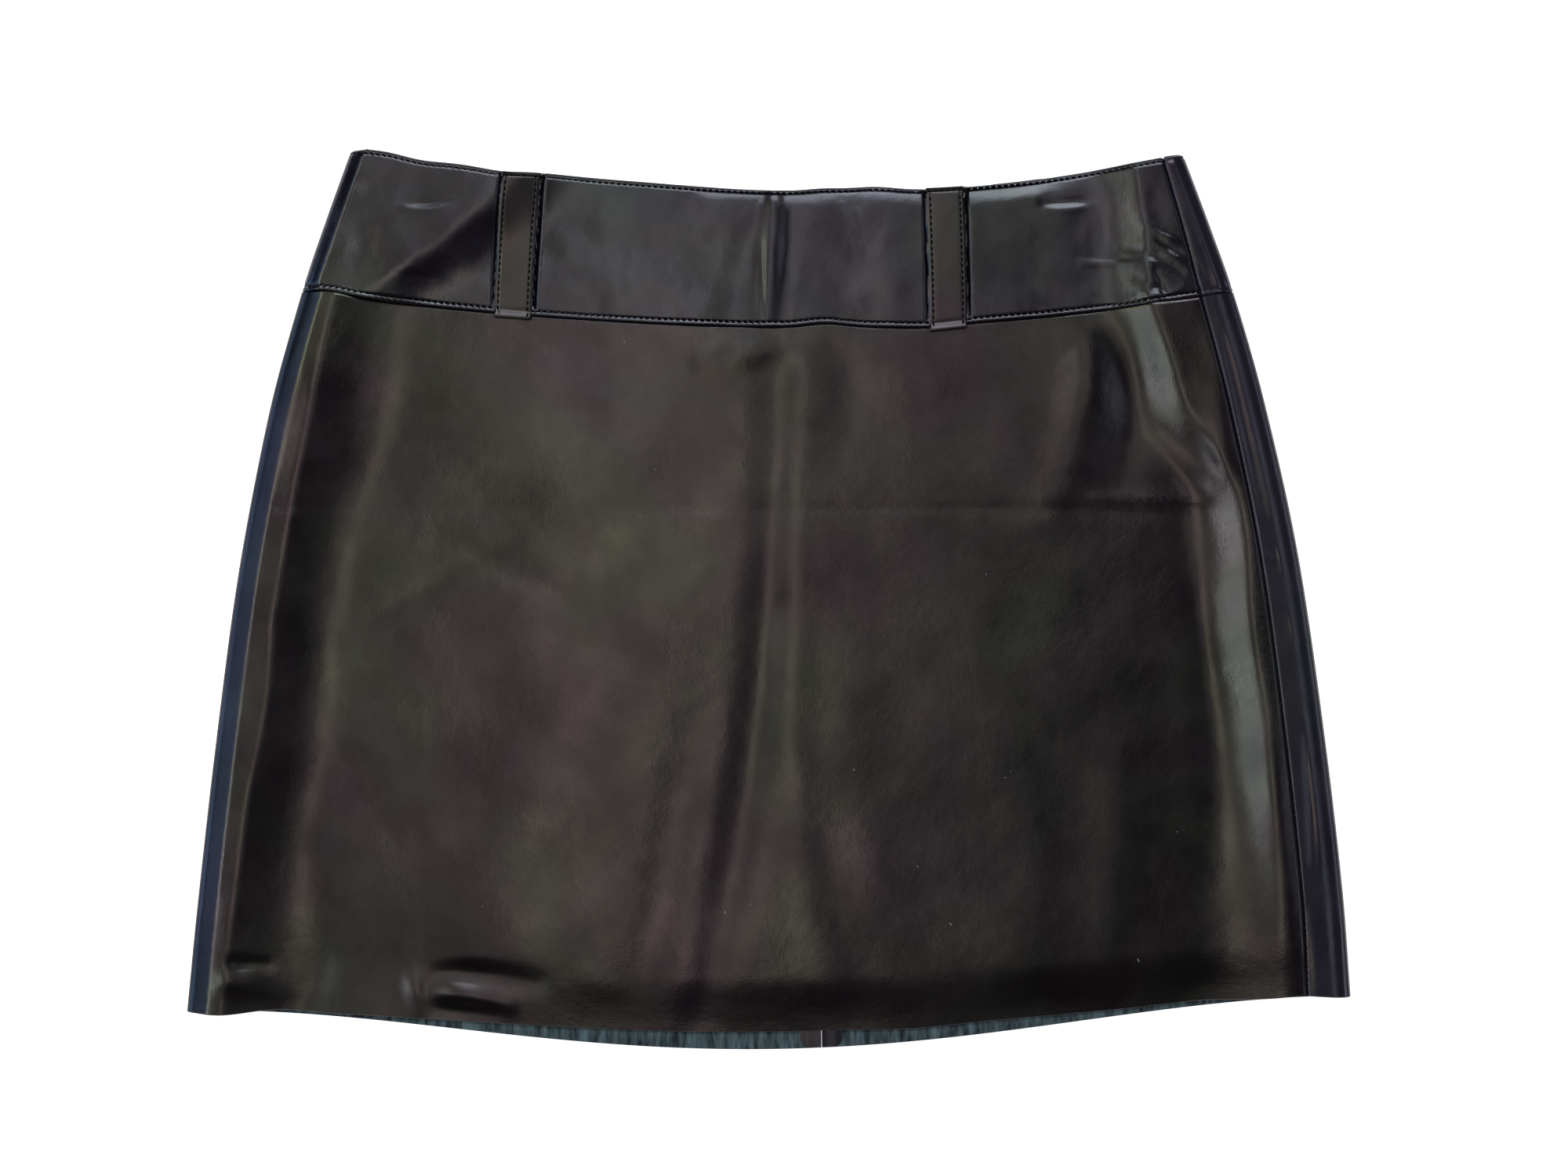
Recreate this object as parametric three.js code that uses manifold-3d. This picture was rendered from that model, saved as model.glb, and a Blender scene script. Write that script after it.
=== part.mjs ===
// A leather mini skirt laid out flat on its back: a wide shaped waistband, four belt loops, a front panel,
// two back panels joined by a centre back seam, and a concealed zip at the top of that seam.
// Millimetres. +X is to the right of the laid skirt, +Y towards its waist, +Z up, the floor is z = 0.
// The origin is on the floor, in the middle of the skirt's outline.

import * as THREE from "three";
import { mergeVertices } from "three/addons/utils/BufferGeometryUtils.js";
import Module from "manifold-3d";

const wasm = await Module();
wasm.setup();

// Driving dimensions
const SKIN = 1.0; // one layer of leather
const BAND_WALL = 1.6; // waistband: leather, interlining and its turned edges
const SEAM_GAP = 0.3; // left between two pieces at a seam
const BAND_DEPTH = 63; // waist edge to waist seam, down the side
const SIDE_LENGTH = 389; // waist edge to hem, down the side
const LEFT_TOP = 205.5; // y of the waist edge at the left fold
const RIGHT_TOP = 204.1;
const LEFT_STRETCH = 1.0105; // the left side is laid a little longer than the right one
const RIGHT_STRETCH = 0.9895;

// The laid outline. A row is one level of the skirt, "down" millimetres below the waist edge.
// left and right are the folded edges, strip the part of the back panel that rolls on to the front at
// the right, wrap the part of the front panel that goes behind at the left, and centreBack the x of the
// centre back seam.
const EDGES = [
  { down: 0, left: -191.0, right: 189.5, strip: 9.8, wrap: 22.0, centreBack: 16.0 },
  { down: 32, left: -202.8, right: 201.4, strip: 12.4, wrap: 22.8, centreBack: 16.8 },
  { down: 63, left: -213.2, right: 212.3, strip: 15.1, wrap: 23.5, centreBack: 17.5 },
  { down: 112, left: -227.0, right: 226.2, strip: 16.4, wrap: 24.3, centreBack: 18.6 },
  { down: 184, left: -241.4, right: 242.0, strip: 17.6, wrap: 25.2, centreBack: 20.2 },
  { down: 270, left: -253.2, right: 254.5, strip: 18.6, wrap: 26.1, centreBack: 22.0 },
  { down: 342, left: -261.5, right: 262.7, strip: 19.3, wrap: 26.8, centreBack: 23.4 },
  { down: 389, left: -266.2, right: 266.2, strip: 20.2, wrap: 27.2, centreBack: 24.3 },
];

// Each level hangs in a curve between the folded edges: front and back are how far the middle of that
// layer lies below the straight line between them, and bow is how the drop is shared out along it. lean
// is how much the left half is raised and the right half lowered.
const DROPS = [
  { down: 0, front: 16.4, back: 17.6, bow: 1.0, lean: 1.9 },
  { down: 63, front: 16.2, back: 17.0, bow: 1.0, lean: 1.1 },
  { down: 112, front: 15.6, back: 17.2, bow: 1.15, lean: 0.6 },
  { down: 184, front: 14.9, back: 18.0, bow: 1.4, lean: 0.3 },
  { down: 270, front: 14.1, back: 19.2, bow: 1.75, lean: 0.0 },
  { down: 342, front: 13.4, back: 20.3, bow: 2.05, lean: 0.0 },
  { down: 389, front: 13.1, back: 21.2, bow: 2.2, lean: 0.0 },
];

// How high the front layer lies: over the two rolled edges and in the middle. A rolled edge is half an
// ellipse that reaches "reach" in from the edge, and the front layer comes down from it over its shoulder.
const BODY_LIE = { roll: 5.8, reach: 5.5, middle: 4.2, leftShoulder: 32, rightShoulder: 30 };
const BAND_LIE = { roll: 6.8, reach: 4.5, middle: 5.4, leftShoulder: 26, rightShoulder: 22 };

// Soft ridges (height above 0) and troughs (below 0) in the front layer: three points that each one runs
// through, how wide it is and how high, for the waistband and for the panel under it.
const BAND_FOLDS = [
  { name: "centre fold", from: [1.6, 194], by: [1.0, 160], to: [2.8, 122], width: 3.4, height: 1.5 },
  { name: "zip head", from: [20, 200], by: [20, 184], to: [19, 168], width: 19, height: 1.6 },
];
const BODY_FOLDS = [
  { name: "centre fold", from: [4, 118], by: [-7.5, -40], to: [8, -197], width: 9, height: -0.9 },
  { name: "hem wave, left", from: [-160, -178], by: [-146, -180], to: [-126, -184], width: 9, height: 1.3 },
  { name: "hem wave, corner", from: [-236, -168], by: [-228, -171], to: [-218, -172], width: 8, height: 0.9 },
  { name: "hip wave, right", from: [176, 112], by: [184, 84], to: [196, 54], width: 13, height: 1.0 },
  { name: "side wave, right", from: [218, 40], by: [226, -40], to: [240, -120], width: 11, height: 0.7 },
];
const FOLD_AT_ENDS = 0.6; // the share of its height that a fold has at its two ends
const FOLD_CLEAR = 0.6; // how much of a rolled edge's shoulder the folds leave as it is

// Belt loops: the middle of each as a share of the row's width, at the waist edge and at the waist seam.
const LOOPS = [
  { name: "belt_loop_front_left", side: "front", top: 0.2063, bottom: 0.2262 },
  { name: "belt_loop_front_right", side: "front", top: 0.7132, bottom: 0.6938 },
  { name: "belt_loop_back_left", side: "back", top: 0.34, bottom: 0.346 },
  { name: "belt_loop_back_right", side: "back", top: 0.80, bottom: 0.79 },
];
const LOOP_WIDTH = 17;
const LOOP_WALL = 1.4; // a folded strip of leather
const BACK_LOOP_WALL = 1.2;
const LOOP_BOW = 0.6; // how far the middle of a front loop stands off the waistband
const LOOP_TOP = 0.8; // below the waist edge
const LOOP_OVER_SEAM = 1.2; // how far a front loop's lower end passes the waist seam

// Behind, the waistband lies over its own belt loops and over the zip's pull: hollows in its underside.
const LOOP_HOLLOW_FADE = 6;
const PULL_HOLLOW = { height: 1.3, halfWidth: 3.0, fadeAcross: 11, depth: 26, fadeDown: 14 };

// The centre back seam: its allowances are folded open inside, below the zip.
const ALLOWANCE = 10;
const ALLOWANCE_WALL = 1.0;
const ALLOWANCE_EDGE = 0.3; // the width over which the wall steps down beside an allowance

// The concealed zip. Its tape starts and ends at levels below the waist edge.
const TAPE = { width: 22, wall: 1.0, start: 11, end: 171, settle: 6 };
const NOTCH = { halfWidth: 3.3, depth: 9.5, cutHeight: 20 };
const SLIDER = { halfWidth: 3.0, top: 0.9, bottom: 8.9, low: 2.0, high: 2.9 };
const EAR = { inside: 1.7, outside: 2.6, halfLength: 0.9, low: 0.3, intoPlate: 0.1 };
const PIN = { radius: 0.35, halfLength: 2.4, down: 6.0, z: 1.0 };
const BARREL = { halfWidth: 1.5, hole: 0.55, radius: 0.8 };
const PULL = { neck: 1.2, halfWidth: 1.9, length: 16, low: 0.3, high: 1.0, start: 0.65 };

// Mesh steps. Rows are levels below the waist edge, columns go round the skirt.
const ROLL_STEPS = 7;
const BODY_ROWS = 19;
const BAND_ROWS = 5;
const BEHIND_ROWS = 12;
const FRONT_COLUMNS = 34;
const FOLD_COLUMNS = { from: 0.482, to: 0.56, count: 6, leastGap: 0.004 }; // finer, over the centre fold
const BEHIND_COLUMNS = 12;
const BAND_BEHIND_COLUMNS = { right: 4, left: 5 };
const BAND_SEAM_COLUMNS = [14.2, 11, 8, 5.5, 3]; // beside the centre back seam, over the pull
const NOTCH_ROWS = [4.5, 9.5];
const HOLLOW_ROWS = [20, PULL_HOLLOW.depth, 33, PULL_HOLLOW.depth + PULL_HOLLOW.fadeDown, 51];
const TAPE_ROWS = [110, 140];
const ALLOWANCE_ROW_GAP = 6; // no other row lies closer to the row where the allowances start
const FOLD_SAMPLES = 12;
const LOOP_ROWS = 8;
const LOOP_COLUMNS = 4;
const CLOSE_ROW = 0.3; // between two rows that make a step
const MERGE = 1e-4;

const lerp = THREE.MathUtils.lerp;
const smooth = THREE.MathUtils.smoothstep;
const steps = (count) => Array.from({ length: count + 1 }, (_, i) => i / count);
const half = SEAM_GAP / 2;

// A column of a table at any level, on a smooth curve through the table's rows.
function valueAt(table, column, down) {
  let i = table.findIndex((row) => row.down > down);
  i = i < 0 ? table.length - 1 : Math.max(i, 1);
  const low = table[i - 1];
  const high = table[i];
  const before = table[i - 2] ?? low;
  const after = table[i + 1] ?? high;
  const span = high.down - low.down;
  const t = (down - low.down) / span;
  const startSlope = ((high[column] - before[column]) / (high.down - before.down)) * span;
  const endSlope = ((after[column] - low[column]) / (after.down - low.down)) * span;
  return (
    low[column] * (2 * t ** 3 - 3 * t ** 2 + 1) +
    startSlope * (t ** 3 - 2 * t ** 2 + t) +
    high[column] * (3 * t ** 2 - 2 * t ** 3) +
    endSlope * (t ** 3 - t ** 2)
  );
}

// Everything that a point needs to know about its level.
function level(down, lie) {
  const at = { lie };
  for (const table of [EDGES, DROPS]) {
    for (const column of Object.keys(table[0])) at[column] = valueAt(table, column, down);
  }
  at.leftRollEnd = at.left + lie.reach;
  at.rightRollEnd = at.right - lie.reach;
  at.rightSeam = at.right - at.strip;
  at.leftSeam = at.left + at.wrap;
  return at;
}

// y of a point of the front layer (layer = 1) or the back layer (layer = 0), or between them on a roll.
function yOf(x, at, layer) {
  const share = (x - at.left) / (at.right - at.left);
  const leftY = LEFT_TOP - at.down * LEFT_STRETCH;
  const rightY = RIGHT_TOP - at.down * RIGHT_STRETCH;
  const drop = lerp(at.back, at.front, layer);
  const middleness = Math.max(0, 1 - (2 * share - 1) ** 2);
  const leaning = at.lean * Math.sin(2 * Math.PI * share);
  return lerp(leftY, rightY, share) - drop * middleness ** at.bow + leaning;
}

// Height of one pressed fold at a point: round across, and fading out at its two ends.
function foldHeight(fold, x, y) {
  let nearest = Infinity;
  let along = 0;
  for (const t of steps(FOLD_SAMPLES)) {
    const shares = [(1 - t) * (1 - 2 * t), 4 * t * (1 - t), t * (2 * t - 1)];
    const spot = (k) => fold.from[k] * shares[0] + fold.by[k] * shares[1] + fold.to[k] * shares[2];
    const away = Math.hypot(x - spot(0), y - spot(1));
    if (away < nearest) {
      nearest = away;
      along = t;
    }
  }
  const fade = FOLD_AT_ENDS + (1 - FOLD_AT_ENDS) * Math.sin(Math.PI * along);
  return fold.height * fade * Math.exp(-((nearest / fold.width) ** 2));
}

// z of the front layer's outer face.
function frontHeight(x, at) {
  const { lie } = at;
  const folds = lie === BAND_LIE ? BAND_FOLDS : BODY_FOLDS;
  const fromLeft = (x - at.leftRollEnd) / lie.leftShoulder;
  const fromRight = (at.rightRollEnd - x) / lie.rightShoulder;
  let z = lie.middle;
  z += (lie.roll - lie.middle) * (1 - smooth(fromLeft, 0, 1));
  z += (lie.roll - lie.middle) * (1 - smooth(fromRight, 0, 1));
  const y = yOf(x, at, 1);
  // A fold leaves the rolled edges as they are.
  const inside = smooth(fromLeft, 0, FOLD_CLEAR) * smooth(fromRight, 0, FOLD_CLEAR);
  for (const fold of folds) z += foldHeight(fold, x, y) * inside;
  return z;
}

// z of the back layer's outer face: the floor, but the waistband lies over its belt loops and the zip's pull.
function backHeight(x, at) {
  if (at.lie !== BAND_LIE) return 0;
  const fromZip = Math.abs(x - at.centreBack) - PULL_HOLLOW.halfWidth;
  let z =
    PULL_HOLLOW.height *
    (1 - smooth(fromZip / PULL_HOLLOW.fadeAcross, 0, 1)) *
    (1 - smooth((at.down - PULL_HOLLOW.depth) / PULL_HOLLOW.fadeDown, 0, 1));
  for (const loop of LOOPS.filter((one) => one.side === "back")) {
    const middle = loopMiddle(loop, at);
    const fromLoop = Math.abs(x - middle) - LOOP_WIDTH / 2 - SEAM_GAP;
    z = Math.max(z, (BACK_LOOP_WALL + SEAM_GAP) * (1 - smooth(fromLoop / LOOP_HOLLOW_FADE, 0, 1)));
  }
  return z;
}

function loopMiddle(loop, at) {
  const share = lerp(loop.top, loop.bottom, Math.min(at.down / BAND_DEPTH, 1));
  return lerp(at.left, at.right, share);
}

// Places round the skirt. Each takes a level and gives the point of the outer face there.
const onFront = (xAt) => (at) => {
  const x = xAt(at);
  return [x, yOf(x, at, 1), frontHeight(x, at)];
};
const onBack = (xAt) => (at) => {
  const x = xAt(at);
  return [x, yOf(x, at, 0), backHeight(x, at)];
};
const onLeftRoll = (turn) => (at) => {
  const x = at.left + at.lie.reach * (1 - Math.sin(Math.PI * turn));
  return [x, yOf(x, at, turn), (at.lie.roll / 2) * (1 - Math.cos(Math.PI * turn))];
};
const onRightRoll = (turn) => (at) => {
  const x = at.right - at.lie.reach * (1 - Math.sin(Math.PI * turn));
  return [x, yOf(x, at, 1 - turn), (at.lie.roll / 2) * (1 + Math.cos(Math.PI * turn))];
};

// Columns of each panel, in order round the skirt: behind at the left, up the left roll, over the front,
// down the right roll and back behind.
function frontPlaces() {
  const overFold = steps(FOLD_COLUMNS.count).map((f) => lerp(FOLD_COLUMNS.from, FOLD_COLUMNS.to, f));
  const shares = [...steps(FRONT_COLUMNS), ...overFold].sort((a, b) => a - b);
  const apart = shares.filter((f, i) => i === 0 || f - shares[i - 1] > FOLD_COLUMNS.leastGap);
  return [
    ...steps(2).map((f) => onBack((at) => lerp(at.leftSeam - half, at.leftRollEnd, f))),
    ...steps(ROLL_STEPS).slice(1, -1).map(onLeftRoll),
    ...apart.map((f) => onFront((at) => lerp(at.leftRollEnd, at.rightSeam - half, f))),
  ];
}
// x of the columns between two places behind. Where a belt loop lies there, its edges are among them.
function behindColumns(from, to, columns, loop) {
  if (!loop) return steps(columns).map((f) => (at) => lerp(from(at), to(at), f));
  const top = level(0, BAND_LIE);
  const way = Math.sign(to(top) - from(top));
  const edge = LOOP_WIDTH / 2 + SEAM_GAP;
  const reach = edge + LOOP_HOLLOW_FADE;
  const beside = (away) => (at) => loopMiddle(loop, at) + way * away;
  const slope = steps(3).map((f) => lerp(edge, reach, f));
  return [
    ...steps(columns).map((f) => (at) => lerp(from(at), beside(-reach)(at), f)).slice(0, -1),
    ...slope.map((away) => beside(-away)).reverse(),
    beside(0),
    ...slope.map(beside),
    ...steps(columns).map((f) => (at) => lerp(beside(reach)(at), to(at), f)).slice(1),
  ];
}
function backRightPlaces(nearSeam, columns, loop) {
  return [
    ...steps(3).map((f) => onFront((at) => lerp(at.rightSeam + half, at.rightRollEnd, f))),
    ...steps(ROLL_STEPS).slice(1, -1).map(onRightRoll),
    ...behindColumns(
      (at) => at.rightRollEnd,
      (at) => at.centreBack + nearSeam[0],
      columns,
      loop,
    ).map(onBack),
    ...nearSeam.slice(1).map((away) => onBack((at) => at.centreBack + away)),
  ];
}
function backLeftPlaces(nearSeam, columns, loop) {
  const beside = (at) => at.centreBack - nearSeam[0];
  return [
    ...nearSeam.slice(1).map((away) => onBack((at) => at.centreBack - away)).reverse(),
    ...behindColumns(beside, (at) => at.leftSeam + half, columns, loop).map(onBack),
  ];
}

// A closed wall: a grid of outer points, and the same grid moved in by its thickness.
function wall(places, downs, lie, thicknessAt) {
  const outer = downs.map((down) => {
    const at = level(down, lie);
    return places.map((place) => new THREE.Vector3(...place(at)));
  });
  const last = (list) => list.length - 1;
  const inner = outer.map((row, i) =>
    row.map((point, j) => {
      const above = outer[Math.max(i - 1, 0)][j];
      const below = outer[Math.min(i + 1, last(outer))][j];
      const before = row[Math.max(j - 1, 0)];
      const after = row[Math.min(j + 1, last(row))];
      const normal = below.clone().sub(above).cross(after.clone().sub(before)).normalize();
      return point.clone().addScaledVector(normal, -thicknessAt(j, downs[i]));
    }),
  );
  return gridSolid(outer, inner);
}

// The closed surface between two grids of points.
function gridSolid(outer, inner) {
  const rows = outer.length;
  const columns = outer[0].length;
  const points = [...outer.flat(), ...inner.flat()];
  const out = (i, j) => i * columns + j;
  const within = (i, j) => rows * columns + out(i, j);
  const faces = [];
  const quad = (a, b, c, d) => faces.push(a, b, c, a, c, d);
  for (let i = 0; i < rows - 1; i++) {
    for (let j = 0; j < columns - 1; j++) {
      quad(out(i, j), out(i + 1, j), out(i + 1, j + 1), out(i, j + 1));
      quad(within(i, j), within(i, j + 1), within(i + 1, j + 1), within(i + 1, j));
    }
    quad(out(i, 0), within(i, 0), within(i + 1, 0), out(i + 1, 0));
    const end = columns - 1;
    quad(out(i, end), out(i + 1, end), within(i + 1, end), within(i, end));
  }
  for (let j = 0; j < columns - 1; j++) {
    quad(out(0, j), out(0, j + 1), within(0, j + 1), within(0, j));
    const end = rows - 1;
    quad(out(end, j), within(end, j), within(end, j + 1), out(end, j + 1));
  }
  const geometry = new THREE.BufferGeometry();
  const numbers = points.flatMap((p) => [p.x, p.y, p.z]);
  geometry.setAttribute("position", new THREE.Float32BufferAttribute(numbers, 3));
  geometry.setIndex(faces);
  return geometry;
}

// three.js geometry to manifold-3d and back, for joins and cuts.
function solid(geometry) {
  const bare = geometry.clone();
  bare.deleteAttribute("normal");
  bare.deleteAttribute("uv");
  const merged = mergeVertices(bare, MERGE);
  return new wasm.Manifold(
    new wasm.Mesh({
      numProp: 3,
      vertProperties: merged.attributes.position.array,
      triVerts: new Uint32Array(merged.index.array),
    }),
  );
}
function geometryOf(manifold) {
  const mesh = manifold.getMesh();
  const geometry = new THREE.BufferGeometry();
  geometry.setAttribute("position", new THREE.BufferAttribute(mesh.vertProperties, mesh.numProp));
  geometry.setIndex(new THREE.BufferAttribute(mesh.triVerts, 1));
  return geometry;
}

const leather = new THREE.MeshStandardMaterial({ color: 0x2b2829, roughness: 0.38, metalness: 0 });
const tapeCloth = new THREE.MeshStandardMaterial({ color: 0x18181a, roughness: 0.85, metalness: 0 });
const darkMetal = new THREE.MeshStandardMaterial({ color: 0x3a3a3d, roughness: 0.35, metalness: 1 });

const skirt = new THREE.Group();
function add(name, geometry, material) {
  const mesh = new THREE.Mesh(geometry, material);
  mesh.name = name;
  skirt.add(mesh);
  return mesh;
}

const bandBottom = BAND_DEPTH - half;
const bodyTop = BAND_DEPTH + half;
const bandRows = steps(BAND_ROWS).map((f) => lerp(0, bandBottom, f));
const bodyRows = steps(BODY_ROWS).map((f) => lerp(bodyTop, SIDE_LENGTH, f));

// Front: a waistband piece and a panel, both rolled behind at the left.
add("front_panel", wall(frontPlaces(), bodyRows, BODY_LIE, () => SKIN), leather);
add("front_waistband", wall(frontPlaces(), bandRows, BAND_LIE, () => BAND_WALL), leather);

// Back panels: the allowances of their centre seam lie folded open inside, from the zip's end to the hem.
const allowanceTop = TAPE.end + 1;
const behindRows = steps(BEHIND_ROWS)
  .map((f) => lerp(bodyTop, SIDE_LENGTH, f))
  .filter((down) => Math.abs(down - allowanceTop) > ALLOWANCE_ROW_GAP)
  .concat(allowanceTop, allowanceTop + CLOSE_ROW)
  .sort((a, b) => a - b);
const panelSeamColumns = [ALLOWANCE + ALLOWANCE_EDGE, ALLOWANCE, half];
const panelRight = backRightPlaces(panelSeamColumns, BEHIND_COLUMNS);
const panelLeft = backLeftPlaces(panelSeamColumns, BEHIND_COLUMNS);
const withAllowance = (isNear) => (j, down) => SKIN + (isNear(j) && down > allowanceTop ? ALLOWANCE_WALL : 0);
const lastTwo = (j) => j >= panelRight.length - 2;
const firstTwo = (j) => j <= 1;
add("back_right_panel", wall(panelRight, behindRows, BODY_LIE, withAllowance(lastTwo)), leather);
add("back_left_panel", wall(panelLeft, behindRows, BODY_LIE, withAllowance(firstTwo)), leather);

// Back waistband, in two pieces, notched at the waist edge for the zip's slider.
const centreTop = level(0, BAND_LIE);
const centreX = centreTop.centreBack;
const centreY = yOf(centreX, centreTop, 0);
const notchBox = new THREE.BoxGeometry(2 * NOTCH.halfWidth, 2 * NOTCH.depth, NOTCH.cutHeight);
const notch = solid(notchBox.translate(centreX, centreY, 0));
const bandBehindRows = [0, ...NOTCH_ROWS, ...HOLLOW_ROWS, bandBottom];
const bandSeamColumns = [...BAND_SEAM_COLUMNS, half];
const loopNamed = (name) => LOOPS.find((loop) => loop.name === name);
const loopRight = loopNamed("belt_loop_back_right");
const loopLeft = loopNamed("belt_loop_back_left");
const bandRight = backRightPlaces(bandSeamColumns, BAND_BEHIND_COLUMNS.right, loopRight);
const bandLeft = backLeftPlaces(bandSeamColumns, BAND_BEHIND_COLUMNS.left, loopLeft);
function backWaistband(places) {
  return geometryOf(solid(wall(places, bandBehindRows, BAND_LIE, () => BAND_WALL)).subtract(notch));
}
add("back_right_waistband", backWaistband(bandRight), leather);
add("back_left_waistband", backWaistband(bandLeft), leather);

// A belt loop lies on its waistband, made from that surface moved out.
function beltLoop(loop) {
  const isFront = loop.side === "front";
  const first = LOOP_TOP;
  const last = isFront ? BAND_DEPTH + LOOP_OVER_SEAM : BAND_DEPTH - SEAM_GAP;
  const downs = steps(LOOP_ROWS).map((f) => lerp(first, last, f));
  const across = steps(LOOP_COLUMNS).map((f) => (f - 0.5) * LOOP_WIDTH);
  const point = (at, x, z) => new THREE.Vector3(x, yOf(x, at, isFront ? 1 : 0), z);
  const layer = (height) =>
    downs.map((down) => {
      const at = level(down, BAND_LIE);
      const stand = LOOP_BOW * Math.sin((Math.PI * (down - first)) / (last - first));
      const order = isFront ? across : [...across].reverse();
      return order.map((away) => {
        const x = loopMiddle(loop, at) + away;
        return isFront
          ? point(at, x, frontHeight(x, at) + SEAM_GAP + stand + height)
          : point(at, x, BACK_LOOP_WALL - height);
      });
    });
  return gridSolid(layer(isFront ? LOOP_WALL : BACK_LOOP_WALL), layer(0));
}
for (const loop of LOOPS) add(loop.name, beltLoop(loop), leather);

// Zip tape: one closed strip inside the back, over the slit that it closes. It lies on the waistband and
// then comes down on to the panels.
function zipTape() {
  const bandTop = (down) => {
    const at = level(down, BAND_LIE);
    return backHeight(at.centreBack, at) + BAND_WALL;
  };
  const stepDown = BAND_DEPTH + 1;
  const settled = BAND_DEPTH + TAPE.settle;
  const lowFace = (down) =>
    down < stepDown
      ? bandTop(Math.min(down, BAND_DEPTH))
      : lerp(BAND_WALL, SKIN, smooth(down, stepDown, settled));
  const downs = [TAPE.start, ...HOLLOW_ROWS, stepDown, settled, ...TAPE_ROWS, TAPE.end];
  const layer = (height) =>
    downs.map((down) => {
      const at = level(down, BODY_LIE);
      return steps(2).map((f) => {
        const x = at.centreBack + (f - 0.5) * TAPE.width;
        return new THREE.Vector3(x, yOf(x, at, 0), lowFace(down) + SEAM_GAP + height);
      });
    });
  return gridSolid(layer(TAPE.wall), layer(0));
}
add("zip_tape", zipTape(), tapeCloth);

// Slider: a plate in the notch, with two ears and a pin under it that carry the pull.
const pinY = centreY - PIN.down;
function box(x0, x1, y0, y1, z0, z1) {
  const geometry = new THREE.BoxGeometry(x1 - x0, y1 - y0, z1 - z0);
  return solid(geometry.translate((x0 + x1) / 2, (y0 + y1) / 2, (z0 + z1) / 2));
}
function zipSlider() {
  const plate = box(
    centreX - SLIDER.halfWidth,
    centreX + SLIDER.halfWidth,
    centreY - SLIDER.bottom,
    centreY - SLIDER.top,
    SLIDER.low,
    SLIDER.high,
  );
  const ears = [-1, 1].map((side) => {
    const edges = [EAR.inside * side, EAR.outside * side].sort((a, b) => a - b);
    return box(
      centreX + edges[0],
      centreX + edges[1],
      pinY - EAR.halfLength,
      pinY + EAR.halfLength,
      EAR.low,
      SLIDER.low + EAR.intoPlate,
    );
  });
  const pin = new THREE.CylinderGeometry(PIN.radius, PIN.radius, 2 * PIN.halfLength, 16);
  pin.rotateZ(Math.PI / 2).translate(centreX, pinY, PIN.z);
  return geometryOf(plate.add(ears[0]).add(ears[1]).add(solid(pin)));
}
add("zip_slider", zipSlider(), darkMetal);

// Pull: a drop-shaped tab on a barrel that turns on the slider's pin. It lies along the seam, towards
// the hem.
function zipPull() {
  const profile = [
    [BARREL.hole, -BARREL.halfWidth],
    [BARREL.radius, -BARREL.halfWidth],
    [BARREL.radius, BARREL.halfWidth],
    [BARREL.hole, BARREL.halfWidth],
    [BARREL.hole, -BARREL.halfWidth],
  ].map(([r, y]) => new THREE.Vector2(r, y));
  const barrel = new THREE.LatheGeometry(profile, 20);
  barrel.rotateZ(Math.PI / 2).translate(centreX, pinY, PIN.z);
  const drop = new THREE.Shape();
  const roundFrom = PULL.length - PULL.halfWidth;
  drop.moveTo(-PULL.neck, -PULL.start);
  drop.lineTo(-PULL.halfWidth, -roundFrom);
  drop.absarc(0, -roundFrom, PULL.halfWidth, Math.PI, 2 * Math.PI, false);
  drop.lineTo(PULL.neck, -PULL.start);
  drop.closePath();
  const tab = new THREE.ExtrudeGeometry(drop, {
    depth: PULL.high - PULL.low,
    bevelEnabled: false,
    curveSegments: 10,
  });
  tab.translate(centreX, pinY, PULL.low);
  return geometryOf(solid(barrel).add(solid(tab)));
}
add("zip_pull", zipPull(), darkMetal);

export default skirt;
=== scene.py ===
# A leather mini skirt laid flat on its back: how it looks. Lengths are in millimetres until a mesh is made.
import math

import bpy
import numpy as np
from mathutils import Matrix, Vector, noise


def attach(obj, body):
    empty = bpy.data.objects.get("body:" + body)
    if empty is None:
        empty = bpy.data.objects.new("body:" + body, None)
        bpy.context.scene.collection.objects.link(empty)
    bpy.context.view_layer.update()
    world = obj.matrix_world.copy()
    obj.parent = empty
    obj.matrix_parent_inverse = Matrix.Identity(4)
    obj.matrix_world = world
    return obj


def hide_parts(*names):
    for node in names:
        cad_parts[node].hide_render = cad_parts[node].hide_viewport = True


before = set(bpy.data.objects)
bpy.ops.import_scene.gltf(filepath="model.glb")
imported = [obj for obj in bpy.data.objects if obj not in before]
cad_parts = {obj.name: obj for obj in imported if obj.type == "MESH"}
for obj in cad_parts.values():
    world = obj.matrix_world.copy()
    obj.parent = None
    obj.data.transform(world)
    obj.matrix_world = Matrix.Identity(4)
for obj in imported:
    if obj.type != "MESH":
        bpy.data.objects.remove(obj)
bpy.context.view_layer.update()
bpy.ops.object.select_all(action="DESELECT")

# Front panel. One piece of black-brown nappa, cut wider towards a raw-cut hem and laid with its left side
# rolled behind. It was stored folded, so soft creases are pressed into it.
MM = 0.001
WAIST_SEAM = 63.0  # below the waist edge, down the side
HEM = 389.0
LEFT_TOP = 205.5  # y of the waist edge at the two folded edges
RIGHT_TOP = 204.1
LEFT_STRETCH = 1.0105  # how far y falls along each folded edge, for each millimetre down
RIGHT_STRETCH = 0.9895
SEAM_GAP = 0.16
SKIN = 1.0  # the leather's thickness
TUCK = 7.0  # how far a panel runs on under the waistband
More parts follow.
